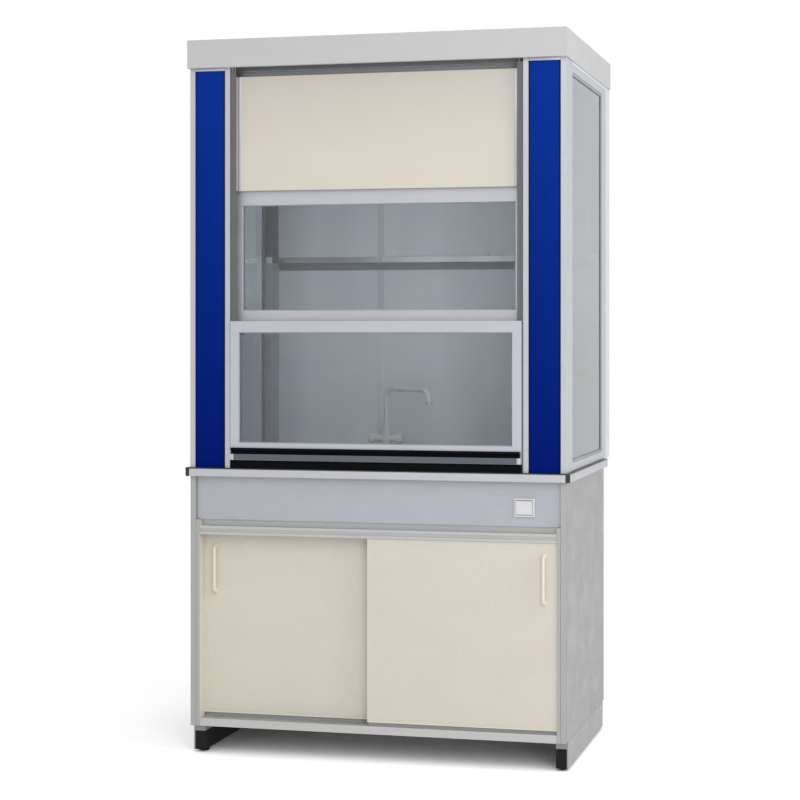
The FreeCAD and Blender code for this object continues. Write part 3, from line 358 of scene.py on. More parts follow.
# Grey sash guides, and the darker channel that the lower sash is lifted by
finish("track_grey", rgb(104, 105, 107), rgb(90, 91, 93), (0.45, 0.55), grain=0.0015, stretch=UPRIGHT,
       bump=0.06)
finish("grip_grey", rgb(102, 108, 117), rgb(88, 94, 103), (0.45, 0.55), stretch=ACROSS, bump=0.08,
       specular=0.2)

# Beige melamine faced board, darker high up with painted shade under the canopy
finish("beige_board", rgb(223, 217, 205), rgb(214, 208, 195), (0.4, 0.52), grain=0.0025, stretch=BOARD,
       bump=0.05, wear=rgb(232, 227, 216), height_shade=(rgb(202, 194, 185), (2.17, 1.87)))

# Glass of the sashes, darker towards its sides with painted shade, and the smoked glass of the sides,
# darker low down with painted shade
glass("sash_glass", (0.94, 0.98, 1.0, 1.0), 0.05, (0.3, 0.28))
glass("side_glass", (0.3, 0.33, 0.37, 1.0), 0.05, (0.4, 0.0))

# Black rubber, and the grey rubber round the panes
finish("gasket_rubber", rgb(16, 17, 20), rgb(7, 8, 11), (0.6, 0.75), bump=0.15, specular=0.04, dust=0.02)
finish("gasket_grey", rgb(168, 169, 171), rgb(152, 153, 155), (0.6, 0.75), bump=0.12)

# Chipboard inside the worktop, and the dark laminate on it
finish("core_board", rgb(206, 180, 140), rgb(150, 118, 80), (0.6, 0.8), grain=0.004, bump=0.3)
finish("worktop_black", rgb(46, 46, 50), rgb(26, 26, 30), (0.38, 0.5), grain=0.0015, bump=0.06,
       wear=rgb(80, 80, 84), dust=0.04)

# Brushed stainless steel
finish("sink_steel", rgb(210, 211, 212), rgb(196, 198, 200), (0.4, 0.46), grain=0.0005, stretch=ACROSS,
       metallic=1.0, bump=0.02, edge=0.0003, dust=0.0)

# Grey polypropylene of the trap and the collar
finish("drain_plastic", rgb(222, 223, 224), rgb(204, 206, 208), (0.4, 0.5), bump=0.05)

# Epoxy coated brass of the tap, and its plastic knobs
finish("tap_enamel", rgb(240, 241, 240), rgb(228, 230, 230), (0.2, 0.3), bump=0.03, coat=0.4)
finish("knob_plastic", rgb(240, 240, 238), rgb(230, 230, 227), (0.3, 0.4), bump=0.05)

# Blue-grey laminate of the apron, brushed along its length
finish("apron_board", rgb(183, 186, 194), rgb(169, 172, 180), (0.4, 0.5), grain=0.0012, stretch=ACROSS,
       bump=0.06, metallic=0.2)

# Light grey melamine faced board of the cabinet, darker low down with painted shade near the floor, with
# beige inside the jambs
finish("cabinet_board", rgb(154, 155, 153), rgb(144, 145, 143), (0.34, 0.46), grain=0.0018, bump=0.08,
       wear=rgb(182, 182, 180), height_shade=(rgb(138, 139, 137), (0.05, 0.5)),
       facing=(rgb(221, 215, 203), 0.57, -0.385))

# Cream enamel of the handles
finish("handle_cream", rgb(236, 231, 218), rgb(226, 220, 206), (0.28, 0.38), bump=0.04, coat=0.2)

# Laminate sheet of the baffles and the case
finish("baffle_sheet", rgb(244, 248, 245), rgb(230, 237, 250), (0.4, 0.5), grain=0.002, bump=0.05,
       mottle=0.7, cloud=0.4)
finish("case_sheet", rgb(222, 227, 231), rgb(212, 217, 222), (0.4, 0.5), grain=0.002, bump=0.05)

# Cast iron of the weights, and the plastic of the pulleys
finish("weight_iron", rgb(86, 84, 82), rgb(58, 57, 56), (0.6, 0.75), grain=0.002, bump=0.35, metallic=0.7)
finish("pulley_plastic", rgb(232, 231, 224), rgb(220, 218, 210), (0.4, 0.5), bump=0.04)

# Zinc plated steel
finish("bright_steel", rgb(206, 207, 208), rgb(176, 178, 182), (0.26, 0.38), grain=0.0006, metallic=1.0,
       bump=0.05)

# White coat of the ceiling lamp, and its diffuser, which is lit
finish("lamp_white", rgb(238, 238, 238), rgb(228, 228, 228), (0.4, 0.5), bump=0.05)
finish("lamp_opal", rgb(244, 244, 240), rgb(236, 236, 232), (0.25, 0.35), stretch=ACROSS, bump=0.05,
       glow=2.4)

# White plastic of the switch
finish("switch_white", rgb(226, 226, 227), rgb(218, 218, 219), (0.3, 0.4), bump=0.05)

# Light grey coat of the edge bands and of the base rails, which are darker with painted shade low under
# the cabinet
finish("base_paint", rgb(180, 181, 179), rgb(172, 173, 171), (0.42, 0.52), bump=0.08,
       wear=rgb(186, 186, 184), height_shade=(rgb(157, 158, 157), (0.089, 0.0905)))

# Black coat of the foot rails
finish("foot_black", rgb(16, 16, 20), rgb(8, 8, 11), (0.5, 0.62), bump=0.12, specular=0.2)


def paint_frame():
    for row in frame["record"]["subparts"]:
        materials = frame["nodes"][row["node"]].data.materials
        materials.clear()
        materials.append(FINISHES[row["material_slot"]])


# Mesh tools

def add_piece(name, mesh, slot, body=None, smooth=30):
    """A finished mesh as a piece that takes a slot's finish and rides on a body."""
    mesh.name = name
    mesh.materials.clear()
    mesh.materials.append(FINISHES[slot])
    mesh.shade_smooth()
    mesh.set_sharp_from_angle(angle=math.radians(smooth))
    made = bpy.data.objects.new(name, mesh)
    bpy.context.scene.collection.objects.link(made)
    if body:
        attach(made, body)
    return made


def to_mesh(name, shape):
    bmesh.ops.remove_doubles(shape, verts=shape.verts, dist=1e-6)
    bmesh.ops.recalc_face_normals(shape, faces=shape.faces)
    mesh = bpy.data.meshes.new(name)
    shape.to_mesh(mesh)
    shape.free()
    return mesh


def add_shape(name, shape, slot, body):
    """A shape that is done, as a piece."""
    add_piece(name, to_mesh(name, shape), slot, body)


def evaluated(holder):
    """A plain mesh of what an object's modifiers make."""
    bpy.context.view_layer.update()
    made = bpy.data.meshes.new_from_object(
        holder.evaluated_get(bpy.context.evaluated_depsgraph_get()))
    holder.modifiers.clear()
    return made


def spread(low, high, count, margin=0.0):
    """Places evenly spaced between two ends, the outer ones a margin inside them."""
    reach = high - low - 2 * margin
    return [low + margin + reach * i / (count - 1) for i in range(count)]


def on_side(side, inner, outer):
    """Two distances from the middle as places on one side of it, the lower one first."""
    return sorted((side * inner, side * outer))


def lathe(shape, profile, centre, axis, sides=32, knurl=0.0):
    """Turn a profile of radius and height, in millimetres, about an axis through centre.

    Knurl, in metres, cuts in every other side.
    """
    turn = Vector(UP).rotation_difference(Vector(axis)).to_matrix()
    rings = []
    for radius, height in profile:
        if radius == 0:
            rings.append([shape.verts.new(Vector(centre) + turn @ Vector((0, 0, height * MM)))])
            continue
        ring = []
        for i in range(sides):
            angle = 2 * math.pi * i / sides
            reach = radius * MM - knurl * (i % 2)
            spot = Vector((reach * math.cos(angle), reach * math.sin(angle), height * MM))
            ring.append(shape.verts.new(Vector(centre) + turn @ spot))
        rings.append(ring)
    for low, high in zip(rings, rings[1:]):
        for i in range(sides):
            lower = [low[i % len(low)], low[(i + 1) % len(low)]]
            upper = [high[(i + 1) % len(high)], high[i % len(high)]]
            shape.faces.new(list(dict.fromkeys(lower + upper)))


def picture_frame(shape, x, z, profile):
    """A mitred bar round a rectangle; profile is distance inwards and place in depth."""
    rings = []
    for inward, y in profile:
        rings.append([shape.verts.new((x[i] + inward * (1, -1)[i], y, z[j] + inward * (1, -1)[j]))
                      for i, j in ((0, 0), (1, 0), (1, 1), (0, 1))])
    for ring, following in zip(rings, rings[1:] + rings[:1]):
        for k in range(4):
            shape.faces.new((ring[k], ring[(k + 1) % 4], following[(k + 1) % 4], following[k]))


def bar(shape, section, x):
    """A bar along the width with a closed section of depth and height."""
    ends = [[shape.verts.new((side, y, z)) for y, z in section] for side in x]
    for i in range(len(section)):
        j = (i + 1) % len(section)
        shape.faces.new((ends[0][i], ends[0][j], ends[1][j], ends[1][i]))
    for end in ends:
        shape.faces.new(end)


def plate(shape, x, y, z, edge=0.0):
    """A flat plate between two places along each axis, with an eased rim."""
    low, high = (Vector(corner) for corner in zip(x, y, z))
    place = Matrix.Translation((low + high) / 2) @ Matrix.Diagonal((*(high - low), 1))
    made = bmesh.ops.create_cube(shape, size=1, matrix=place)
    if edge:
        rims = dict.fromkeys(rim for corner in made["verts"] for rim in corner.link_edges)
        bmesh.ops.bevel(shape, geom=list(rims), offset=edge, segments=2, affect="EDGES", profile=0.5)


def dome(radius, height, steps=5):
    """Profile of a pan head: a short rim, then a quarter of an ellipse up to the middle."""
    rim = 0.35 * height
    points = [(0, 0), (radius, 0), (radius, rim)]
    for i in range(1, steps):
        angle = math.pi / 2 * i / steps
        points.append((radius * math.cos(angle), rim + (height - rim) * math.sin(angle)))
    return points + [(0, height)]


# Repeated items by geometry nodes

class Tree(Wiring):
    """A geometry node tree, with its inputs known by name."""

    def __init__(self, name, inputs):
        super().__init__(bpy.data.node_groups.new(name, "GeometryNodeTree"))
        face = self.tree.interface
        face.new_socket("Geometry", in_out="INPUT", socket_type="NodeSocketGeometry")
        face.new_socket("Geometry", in_out="OUTPUT", socket_type="NodeSocketGeometry")
        self.known = {}
        for label, kind in inputs.items():
            self.known[label] = face.new_socket(label, in_out="INPUT", socket_type=kind).identifier
        self.given = self.node("NodeGroupInput").outputs

    def close(self, geometry):
        """End the tree: instances made real, then the material."""
        real = self.node("GeometryNodeRealizeInstances")
        self.feed(real.inputs[0], geometry)
        painted = self.node("GeometryNodeSetMaterial")
        self.feed(painted.inputs["Geometry"], real.outputs[0])
        self.feed(painted.inputs["Material"], self.given["Material"])
        self.feed(self.node("NodeGroupOutput").inputs[0], painted.outputs[0])

    def grow(self, mesh, **values):
        """The plain mesh that the tree makes from a mesh of points or lines."""
        holder = bpy.data.objects.new(mesh.name, mesh)
        bpy.context.scene.collection.objects.link(holder)
        modifier = holder.modifiers.new("grow", "NODES")
        modifier.node_group = self.tree
        for label, value in values.items():
            modifier[self.known[label.capitalize()]] = value
        made = evaluated(holder)
        bpy.data.objects.remove(holder)
        return made


HUB_SHARE = 0.64                # circle that the strands' middles lie on, as a share of the rope's radius
STRAND_SHARE = 0.36
STRAND_SIDES = 6


def screw_tree():
    """A screw head on every point, pointing along its aim and turned at random."""
    tree = Tree("screw_heads", {"Head": "NodeSocketObject", "Seed": INTEGER, "Material": MATERIAL})
    aim = tree.node("GeometryNodeInputNamedAttribute", data_type="FLOAT_VECTOR")
    aim.inputs["Name"].default_value = "aim"
    facing = tree.node("FunctionNodeAlignRotationToVector", axis="Z")
    tree.feed(facing.inputs["Vector"], aim.outputs["Attribute"])
    chance = tree.node("FunctionNodeRandomValue", data_type="FLOAT")
    tree.feed(chance.inputs["Seed"], tree.given["Seed"])
    spin = tree.node("FunctionNodeAxisAngleToRotation")
    tree.feed(spin.inputs["Angle"], tree.math("MULTIPLY", chance.outputs[1], 2 * math.pi))
    turned = tree.node("FunctionNodeRotateRotation", rotation_space="LOCAL")
    tree.feed(turned.inputs["Rotation"], facing.outputs[0])
    tree.feed(turned.inputs["Rotate By"], spin.outputs[0])
    head = tree.node("GeometryNodeObjectInfo")
    tree.feed(head.inputs["Object"], tree.given["Head"])
    placed = tree.node("GeometryNodeInstanceOnPoints")
    tree.feed(placed.inputs["Points"], tree.given["Geometry"])
    tree.feed(placed.inputs["Instance"], head.outputs["Geometry"])
    tree.feed(placed.inputs["Rotation"], turned.outputs[0])
    tree.close(placed.outputs[0])
    return tree


def rope_tree():
    """Strands twisted round a line."""
    tree = Tree("wire_rope", {"Radius": FLOAT, "Strands": INTEGER, "Lay": FLOAT, "Step": FLOAT,
                              "Material": MATERIAL})
    line = tree.node("GeometryNodeMeshToCurve")
    tree.feed(line.inputs["Mesh"], tree.given["Geometry"])
    even = tree.node("GeometryNodeResampleCurve", mode="LENGTH")
    tree.feed(even.inputs["Curve"], line.outputs[0])
    tree.feed(even.inputs["Length"], tree.given["Step"])
    along = tree.node("GeometryNodeSplineParameter").outputs["Length"]
    tilt = tree.node("GeometryNodeSetCurveTilt")
    tree.feed(tilt.inputs["Curve"], even.outputs[0])
    turns = tree.math("DIVIDE", along, tree.given["Lay"])
    tree.feed(tilt.inputs["Tilt"], tree.math("MULTIPLY", turns, 2 * math.pi))
    hub = tree.node("GeometryNodeCurvePrimitiveCircle")
    tree.feed(hub.inputs["Resolution"], tree.given["Strands"])
    tree.feed(hub.inputs["Radius"], tree.math("MULTIPLY", tree.given["Radius"], HUB_SHARE))
    strand = tree.node("GeometryNodeCurvePrimitiveCircle")
    strand.inputs["Resolution"].default_value = STRAND_SIDES
    tree.feed(strand.inputs["Radius"], tree.math("MULTIPLY", tree.given["Radius"], STRAND_SHARE))
    ring = tree.node("GeometryNodeInstanceOnPoints")
    tree.feed(ring.inputs["Points"], hub.outputs[0])
    tree.feed(ring.inputs["Instance"], strand.outputs[0])
    section = tree.node("GeometryNodeRealizeInstances")
    tree.feed(section.inputs[0], ring.outputs[0])
    skin = tree.node("GeometryNodeCurveToMesh")
    tree.feed(skin.inputs["Curve"], tilt.outputs[0])
    tree.feed(skin.inputs["Profile Curve"], section.outputs[0])
    skin.inputs["Fill Caps"].default_value = True
    tree.close(skin.outputs[0])
    return tree


SCREWS = screw_tree()
ROPE = rope_tree()


def screw_head(name, radius, height):
    """A pan head with a cross cut into it; its sizes are in millimetres."""
    arm = 1.2 * radius * MM
    width = 0.28 * radius * MM
    tall = height * MM
    shape = bmesh.new()
    lathe(shape, dome(radius, height), (0, 0, 0), UP, sides=20)
    head = bpy.data.objects.new(name, to_mesh(name, shape))
    cutter = bmesh.new()
    for x, y in ((arm, width), (width, arm)):
        size = Matrix.Diagonal((x, y, tall, 1))
        bmesh.ops.create_cube(cutter, size=1, matrix=Matrix.Translation((0, 0, tall)) @ size)
    cross = bpy.data.objects.new(name + "_cross", to_mesh(name + "_cross", cutter))
    for made in (head, cross):
        bpy.context.scene.collection.objects.link(made)
    carve = head.modifiers.new("cross", "BOOLEAN")
    carve.object = cross
    carve.use_self = True
    head.data = evaluated(head)
    bpy.data.objects.remove(cross)
    return head


def screws(name, head, spots, slot, body, seed):
    """One mesh of screw heads for a body; spots are places with the way each head looks."""
    points = bpy.data.meshes.new(name)
    points.from_pydata([Vector(place) for place, way in spots], [], [])
    aims = points.attributes.new("aim", "FLOAT_VECTOR", "POINT")
    aims.data.foreach_set("vector", [value for place, way in spots for value in way])
    add_piece(name, SCREWS.grow(points, head=head, seed=seed, material=FINISHES[slot]), slot, body)


# Cables over the pulleys, with their end fittings

PITCH_RADIUS = 36 * MM
WRAP_STEPS = 36
ROPE_SIZES = {"radius": 1.5 * MM, "strands": 6, "lay": 22 * MM, "step": 3 * MM}

# Radius and height in millimetres, from the foot of the ferrule up
FERRULE = [(0, 0), (6, 0), (6, 2), (4.6, 3), (3.2, 3.4), (3.2, 8), (2.9, 8.6), (3.2, 9.2), (3.2, 14),
           (2.4, 17), (0, 17)]


def rope(name, route):
    line = bpy.data.meshes.new(name)
    line.from_pydata(route, [(i, i + 1) for i in range(len(route) - 1)], [])
    mesh = ROPE.grow(line, material=FINISHES["bright_steel"], **ROPE_SIZES)
    return add_piece(name, mesh, "bright_steel", smooth=60)


def ferrule(name, spot, body):
    """A crimped sleeve over an eye plate, where a cable ends."""
    shape = bmesh.new()
    lathe(shape, FERRULE, spot, UP, sides=20)
    add_shape(name, shape, "bright_steel", body)


def cables():
    """Each cable as its wrap on the pulley, and a run down to the sash and to the weight."""
    for sash in ("lower", "upper"):
        sash_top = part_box(f"{sash}_sash_frame")[1].z
        weight_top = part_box(f"{sash}_sash_weights")[1].z
        for side in ("right", "left"):
            low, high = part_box(f"{sash}_pulley_{side}")
            hub = (low + high) / 2
            outward = math.copysign(PITCH_RADIUS, hub.x)
            arc = []
            for i in range(WRAP_STEPS + 1):
                angle = math.pi * i / WRAP_STEPS
                arc.append(hub + Vector((-outward * math.cos(angle), 0, PITCH_RADIUS * math.sin(angle))))
            tag = f"{sash}_{side}"
            wrap = rope(f"pulley_wrap_{tag}", arc)
            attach(wrap, "root")
            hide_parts(f"{sash}_sash_cables")
            for end, top, foot_z, body in (("sash", arc[0], sash_top, f"{sash}_sash"),
                                           ("weight", arc[-1], weight_top, f"{sash}_weights")):
                foot = Vector((top.x, top.y, foot_z))
                run = rope(f"{end}_cable_{tag}", [top, foot])
                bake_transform(run)
                ferrule(f"{end}_ferrule_{tag}", foot, body)


# Glazing beads of the sashes

BEAD_SEATS = {"lower": 6 * MM, "upper": 5 * MM}
BEAD_DEPTH = 4 * MM
BEAD_WIDTH = 3.2 * MM
BEAD_NOSE = 0.35                # share of the depth at the bead's inner edge


def beads():
    """Rubber beads on both faces of each pane, against the frame."""
    for sash, seat in BEAD_SEATS.items():
        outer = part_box(f"{sash}_sash_frame")
        low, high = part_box(f"{sash}_sash_glass")
        x = (low.x + seat, high.x - seat)
        z = (low.z + seat, high.z - seat)
        shape = bmesh.new()
        for face, rim, way in ((low.y, outer[0].y, -1), (high.y, outer[1].y, 1)):
            depth = min(BEAD_DEPTH, abs(rim - face) - 0.5 * MM)
            crest = face + way * depth
            nose = face + way * BEAD_NOSE * depth
            picture_frame(shape, x, z, [(0, face), (0, crest), (BEAD_WIDTH / 2, crest),
                                        (BEAD_WIDTH, nose), (BEAD_WIDTH, face)])
        add_shape(f"{sash}_sash_beads", shape, "gasket_grey", f"{sash}_sash")


# Screws and bolts of the fixed frame

SMALL_HEAD = screw_head("small_head", 3.6, 2.2)
LARGE_HEAD = screw_head("large_head", 5.5, 3.4)

# Places on the baffles, which hang behind the rear posts
BAFFLE_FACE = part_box("rear_posts")[1].y
SEAM = -185 * MM                # upright joint of the baffles
SLOT_FOOT = 1547 * MM
LIP_FOOT = 1573.5 * MM          # lip that stands out over the slot
LIP_TOP = 1593 * MM


def baffle_screws():
    """Rows down both ends of the baffles and on both sides of the seam."""
    low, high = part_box("baffle_panels")
    end = 548 * MM
    columns = (-end, SEAM - 22 * MM, SEAM + 18 * MM, end)
    below = spread(low.z + 60 * MM, SLOT_FOOT - 27 * MM, 4)
    above = spread(LIP_TOP + 25 * MM, high.z - 40 * MM, 3)
    return [((x, BAFFLE_FACE, z), FORWARD) for x in columns for z in below + above]


def back_screws():
    """Down the plenum's flanges, and round the cabinet's back."""
    low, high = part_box("plenum_sides")
    flange = high.x - 13 * MM
    spots = [((side * flange, high.y, z), BACKWARD)
             for side in SIDES for z in spread(low.z, high.z, 7, margin=50 * MM)]
    low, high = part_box("cabinet_back")
    inset = 14 * MM
    for x in (low.x + inset, high.x - inset):
        spots += [((x, high.y, z), BACKWARD) for z in spread(low.z, high.z, 5, margin=40 * MM)]
    for z in (low.z + inset, high.z - inset):
        spots += [((x, high.y, z), BACKWARD) for x in spread(low.x, high.x, 5, margin=150 * MM)]
    return spots


def roof_screws():
    """Round the collar's flange."""
    low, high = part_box("exhaust_collar")
    centre = (low + high) / 2
    flange_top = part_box("front_pillars")[1].z + 2 * MM
    ring = 116 * MM
    count = 8
    spots = []
    for i in range(count):
        angle = 2 * math.pi * (i + 0.5) / count
        spots.append(((ring * math.cos(angle), centre.y + ring * math.sin(angle), flange_top), UP))
    return spots


def base_bolts():
    """Through the outer faces of the base rails."""
    low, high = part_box("base_rails")
    height = high.z - 12 * MM
    return [((side * high.x, y, height), (side, 0, 0))
            for side in SIDES for y in spread(low.y, high.y, 3, margin=60 * MM)]


def fixings():
    screws("baffle_screws", SMALL_HEAD, baffle_screws(), "lamp_white", "root", seed=3)
    screws("back_screws", SMALL_HEAD, back_screws(), "bright_steel", "root", seed=5)
    screws("roof_screws", LARGE_HEAD, roof_screws(), "bright_steel", "root", seed=7)
    screws("base_bolts", LARGE_HEAD, base_bolts(), "bright_steel", "root", seed=11)
    for head in (SMALL_HEAD, LARGE_HEAD):
        bpy.data.objects.remove(head)


# Small trim of the sash, the pillars and the back

PROUD = 1.2 * MM                # how far a flat strip stands off the face that carries it
HAIR = 0.02 * MM                # gap that keeps a strip's back out of that face
GLUE = 0.05 * MM                # gap behind a strip that is glued on
SHORT = 0.3 * MM                # how far a strip stops before the end of its carrier
EASED = 0.4 * MM                # rim of a flat strip

GRIP_MOUTH = (950.2 * MM, 961.8 * MM)
GRIP_RIBS = 4
RIB_DEPTH = 1.2 * MM
GRIP_CAP = 11 * MM

COVER_WIDTH = 97.5 * MM
COVER_CAP = 9 * MM
COVER_BEAD = 1.4 * MM           # half the width of a bead

PANEL_TRIM = (436 * MM, 446.5 * MM)     # its edges, from the middle

STRIP_SPAN = (SEAM - 13.5 * MM, SEAM + 8.5 * MM)
STRIP_JOINT = 1350 * MM         # where the paler strip ends

SHADE_STRIP_ENDS = (1572 * MM, 2096 * MM)     # dark strips of painted shade on the rear posts
POST_WIDTH = 40 * MM
CLIP_MIDDLE = 570 * MM
CLIP_HALF = 11 * MM
CLIP_RIM = 0.8 * MM
MIDDLE_CLIP = (182 * MM, 198 * MM)      # the one over the slot


def grip_rubber():
    """A ribbed black strip in the mouth of the sash grip, a lip over it and a cap on each end."""
    low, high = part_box("lower_sash_grip")
    foot, top = GRIP_MOUTH
    back = high.y - 2 * MM
    valley = back - RIB_DEPTH
    crest = valley - RIB_DEPTH
    section = [(back, foot)]
    step = (top - foot) / GRIP_RIBS
    for i in range(GRIP_RIBS):
        start = foot + i * step
        section += [(valley, start + 0.15 * step), (crest, start + 0.5 * step),
                    (valley, start + 0.85 * step)]
    nose = low.y - 0.7 * MM
    lip_top = high.z - 0.6 * MM
    ledge = top + 0.2 * MM
    section += [(back - 0.6 * MM, top), (nose, top), (nose, lip_top), (low.y, lip_top),
                (low.y, ledge), (back, ledge)]
    shape = bmesh.new()
    bar(shape, section, (low.x + 2 * MM, high.x - 2 * MM))
    add_shape("grip_rubber", shape, "gasket_rubber", "lower_sash")
    caps = bmesh.new()
    for x in ((low.x - MM, low.x + GRIP_CAP), (high.x - GRIP_CAP, high.x + MM)):
        plate(caps, x, (low.y - 0.8 * MM, high.y - 0.2 * MM), (low.z - 0.4 * MM, foot), 0.8 * MM)
    add_shape("grip_caps", caps, "anodised", "lower_sash")


def cover_caps():
    """A thin cap over the upper end of each blue cover."""
    low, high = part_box("pillar_covers")
    shape = bmesh.new()
    for side in SIDES:
        x = on_side(side, high.x - COVER_WIDTH - 0.5 * MM, high.x + 0.5 * MM)
        plate(shape, x, (low.y - PROUD, low.y + 2.5 * MM), (high.z - COVER_CAP, high.z - SHORT), 0.5 * MM)
    add_shape("cover_caps", shape, "anodised", "root")


def cover_beads():
    """A dark bead down both edges of each blue cover."""
    low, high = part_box("pillar_covers")
    y = (low.y + MM, low.y + 2.6 * MM)
    z = (low.z + 0.4 * MM, high.z - COVER_CAP - 0.2 * MM)
    shape = bmesh.new()
    for side in SIDES:
        for edge in (high.x - COVER_BEAD, high.x - COVER_WIDTH + COVER_BEAD):
            plate(shape, (side * edge - COVER_BEAD, side * edge + COVER_BEAD), y, z)
    add_shape("cover_beads", shape, "gasket_rubber", "root")


def panel_trims():
    """Metal strips down the sides of the upper front panel, beside the sash guides."""
    low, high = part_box("upper_front_panel")
    shape = bmesh.new()
    for side in SIDES:
        plate(shape, on_side(side, *PANEL_TRIM), (low.y - PROUD, low.y - HAIR),
              (low.z + SHORT, high.z - SHORT), EASED)
    add_shape("panel_trims", shape, "anodised", "root")


def slot_trim():
    """A bright nosing along the lip over the exhaust slot, parted at the seam."""
    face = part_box("baffle_panels")[0].y
    nose = face - 1.5 * MM
    foot = LIP_FOOT - 0.4 * MM
    top = LIP_TOP + 0.4 * MM
    end = 556 * MM
    gap = 1.5 * MM
    shape = bmesh.new()
    for ends in ((-end, SEAM - gap), (SEAM + gap, end)):
        bar(shape, [(face, foot), (nose, foot), (nose, top), (face, top)], ends)
    add_shape("slot_trim", shape, "bright_steel", "root")


def seam_strips():
    """A flat strip over the seam of the baffles, above and below the slot, paler low down."""
    low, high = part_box("baffle_panels")
    y = (BAFFLE_FACE - PROUD, BAFFLE_FACE - HAIR)
    upper_runs = ((STRIP_JOINT, SLOT_FOOT - MM), (LIP_TOP + MM, high.z - MM))
    low_run = ((low.z + MM, STRIP_JOINT - 0.2 * MM),)
    for name, slot, runs in (("seam_strips", "case_sheet", upper_runs),
                             ("seam_strip_low", "baffle_sheet", low_run)):
        shape = bmesh.new()
        for z in runs:
            plate(shape, STRIP_SPAN, y, z, EASED)
        add_shape(name, shape, slot, "root")


def post_liners():
    """Dark strips of painted shade on the rear posts above the slot, and the square clips at and over it.
    """
    low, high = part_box("rear_posts")
    inner = high.x - POST_WIDTH
    strips = bmesh.new()
    clips = bmesh.new()
    for side in SIDES:
        # Dark strips that are painted shade on the rear posts
        plate(strips, on_side(side, inner - PROUD, high.x - 8 * MM), (low.y - PROUD, low.y - GLUE),
              SHADE_STRIP_ENDS)
        plate(strips, on_side(side, inner - PROUD, inner - GLUE), (low.y - GLUE, high.y - 14 * MM),
              SHADE_STRIP_ENDS)
        middle = side * CLIP_MIDDLE
        plate(clips, (middle - CLIP_HALF, middle + CLIP_HALF), (low.y - 5 * MM, low.y - PROUD),
              (LIP_TOP - 2 * CLIP_HALF, LIP_TOP), CLIP_RIM)
    plate(clips, MIDDLE_CLIP, (BAFFLE_FACE - 7 * MM, BAFFLE_FACE), (LIP_TOP + MM, LIP_TOP + 17 * MM),
          CLIP_RIM)
    add_shape("post_liners", strips, "grip_grey", "root")
    add_shape("slot_clips", clips, "lamp_white", "root")


def roof_seal():
    """A dark strip on the roof's upstand, behind the fascia, and a grey sheet behind the gap under it;
    both stand for shade under the fascia, the strip's dark grey being painted shade.
    """
    low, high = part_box("roof_panel")
    # The dark grey strip is painted shade under the fascia.
    shade_strip_reach = 466 * MM
    shade_strip = bmesh.new()
    plate(shade_strip, (-shade_strip_reach, shade_strip_reach), (low.y - 1.6 * MM, low.y - GLUE),
          (low.z + SHORT, high.z - MM), EASED)
    add_shape("roof_seal", shade_strip, "track_grey", "root")
    # A grey sheet behind the gap, put there to stand for shade in it.
    shade_reach = 440 * MM
    shade_y = (-386 * MM, -384.5 * MM)
    panel_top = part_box("upper_front_panel")[1].z
    shade = bmesh.new()
    plate(shade, (-shade_reach, shade_reach), shade_y, (panel_top + 3 * MM, low.z - 0.2 * MM), 0.3 * MM)
    add_shape("bypass_shade", shade, "gasket_grey", "root")


def edge_bands():
    """Banding on the front edges of the cabinet's sides and door jambs."""
    shape = bmesh.new()
    for board, width in (("cabinet_sides", 18 * MM), ("door_jambs", 12 * MM)):
        low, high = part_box(board)
        for side in SIDES:
            plate(shape, on_side(side, high.x - width + SHORT, high.x - SHORT),
                  (low.y - 0.5 * MM, low.y - HAIR), (low.z + SHORT, high.z - SHORT))
    add_shape("edge_bands", shape, "base_paint", "root")


# Small trim of the doors and the tap

DOOR_INSET = 0.2 * MM
DOOR_TONGUE = 8 * MM            # how far the tongue in the track lies behind the door's face
DOOR_FACE_TOP = 692 * MM
SKIRT_TOP = 135.6 * MM
SKIRT_FOOT = 126 * MM
BAND_WIDTH = 3.2 * MM
BAND_THICK = 0.4 * MM

HANDLE_ENDS = (511 * MM, 653 * MM)
SPOUT_MOUTH = (46.4 * MM, 106.4 * MM, 1088 * MM)

# Turned pieces: radius and height in millimetres
HANDLE_FOOT = [(0, 0), (8, 0), (8, 1.5), (6.6, 3), (0, 3)]
TAP_RING = [(0, 0), (28, 0), (28, 1.2), (27, 2), (0, 2)]
SPOUT_OUTLET = [(0, 2), (8.5, 2), (8.5, 0), (11, 0), (12, 1), (12, 10), (11.2, 11), (0, 11)]


def door_bands():
    """Pale edge banding round the front of each door."""
    for side in ("left", "right"):
        low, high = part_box(f"{side}_door_panel")
        face = low.y - HAIR
        front = face - BAND_THICK
        shape = bmesh.new()
        picture_frame(shape, (low.x + DOOR_INSET, high.x - DOOR_INSET),
                      (SKIRT_FOOT + BAND_THICK, DOOR_FACE_TOP),
                      [(0, face), (0, front), (BAND_WIDTH, front), (BAND_WIDTH, face)])
        add_shape(f"{side}_door_bands", shape, "handle_cream", f"{side}_door")


def door_shoes():
    """A lipping under the face of each door, and below it a grey strip that runs in the track, its grey
    being painted shade under the door's face.
    """
    for side in ("left", "right"):
        low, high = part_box(f"{side}_door_panel")
        x = (low.x + DOOR_INSET, high.x - DOOR_INSET)
        tongue = low.y + DOOR_TONGUE
        skirt = bmesh.new()
        plate(skirt, x, (low.y, tongue - GLUE), (SKIRT_FOOT, SKIRT_TOP))
        add_shape(f"{side}_door_skirt", skirt, "beige_board", f"{side}_door")
        # The grey strip is painted shade under the door's face.
        shade_line = bmesh.new()
        plate(shade_line, x, (tongue - 0.5 * MM, tongue - HAIR), (low.z + 0.5 * MM, SKIRT_FOOT - HAIR))
        add_shape(f"{side}_door_glide", shade_line, "gasket_grey", f"{side}_door")


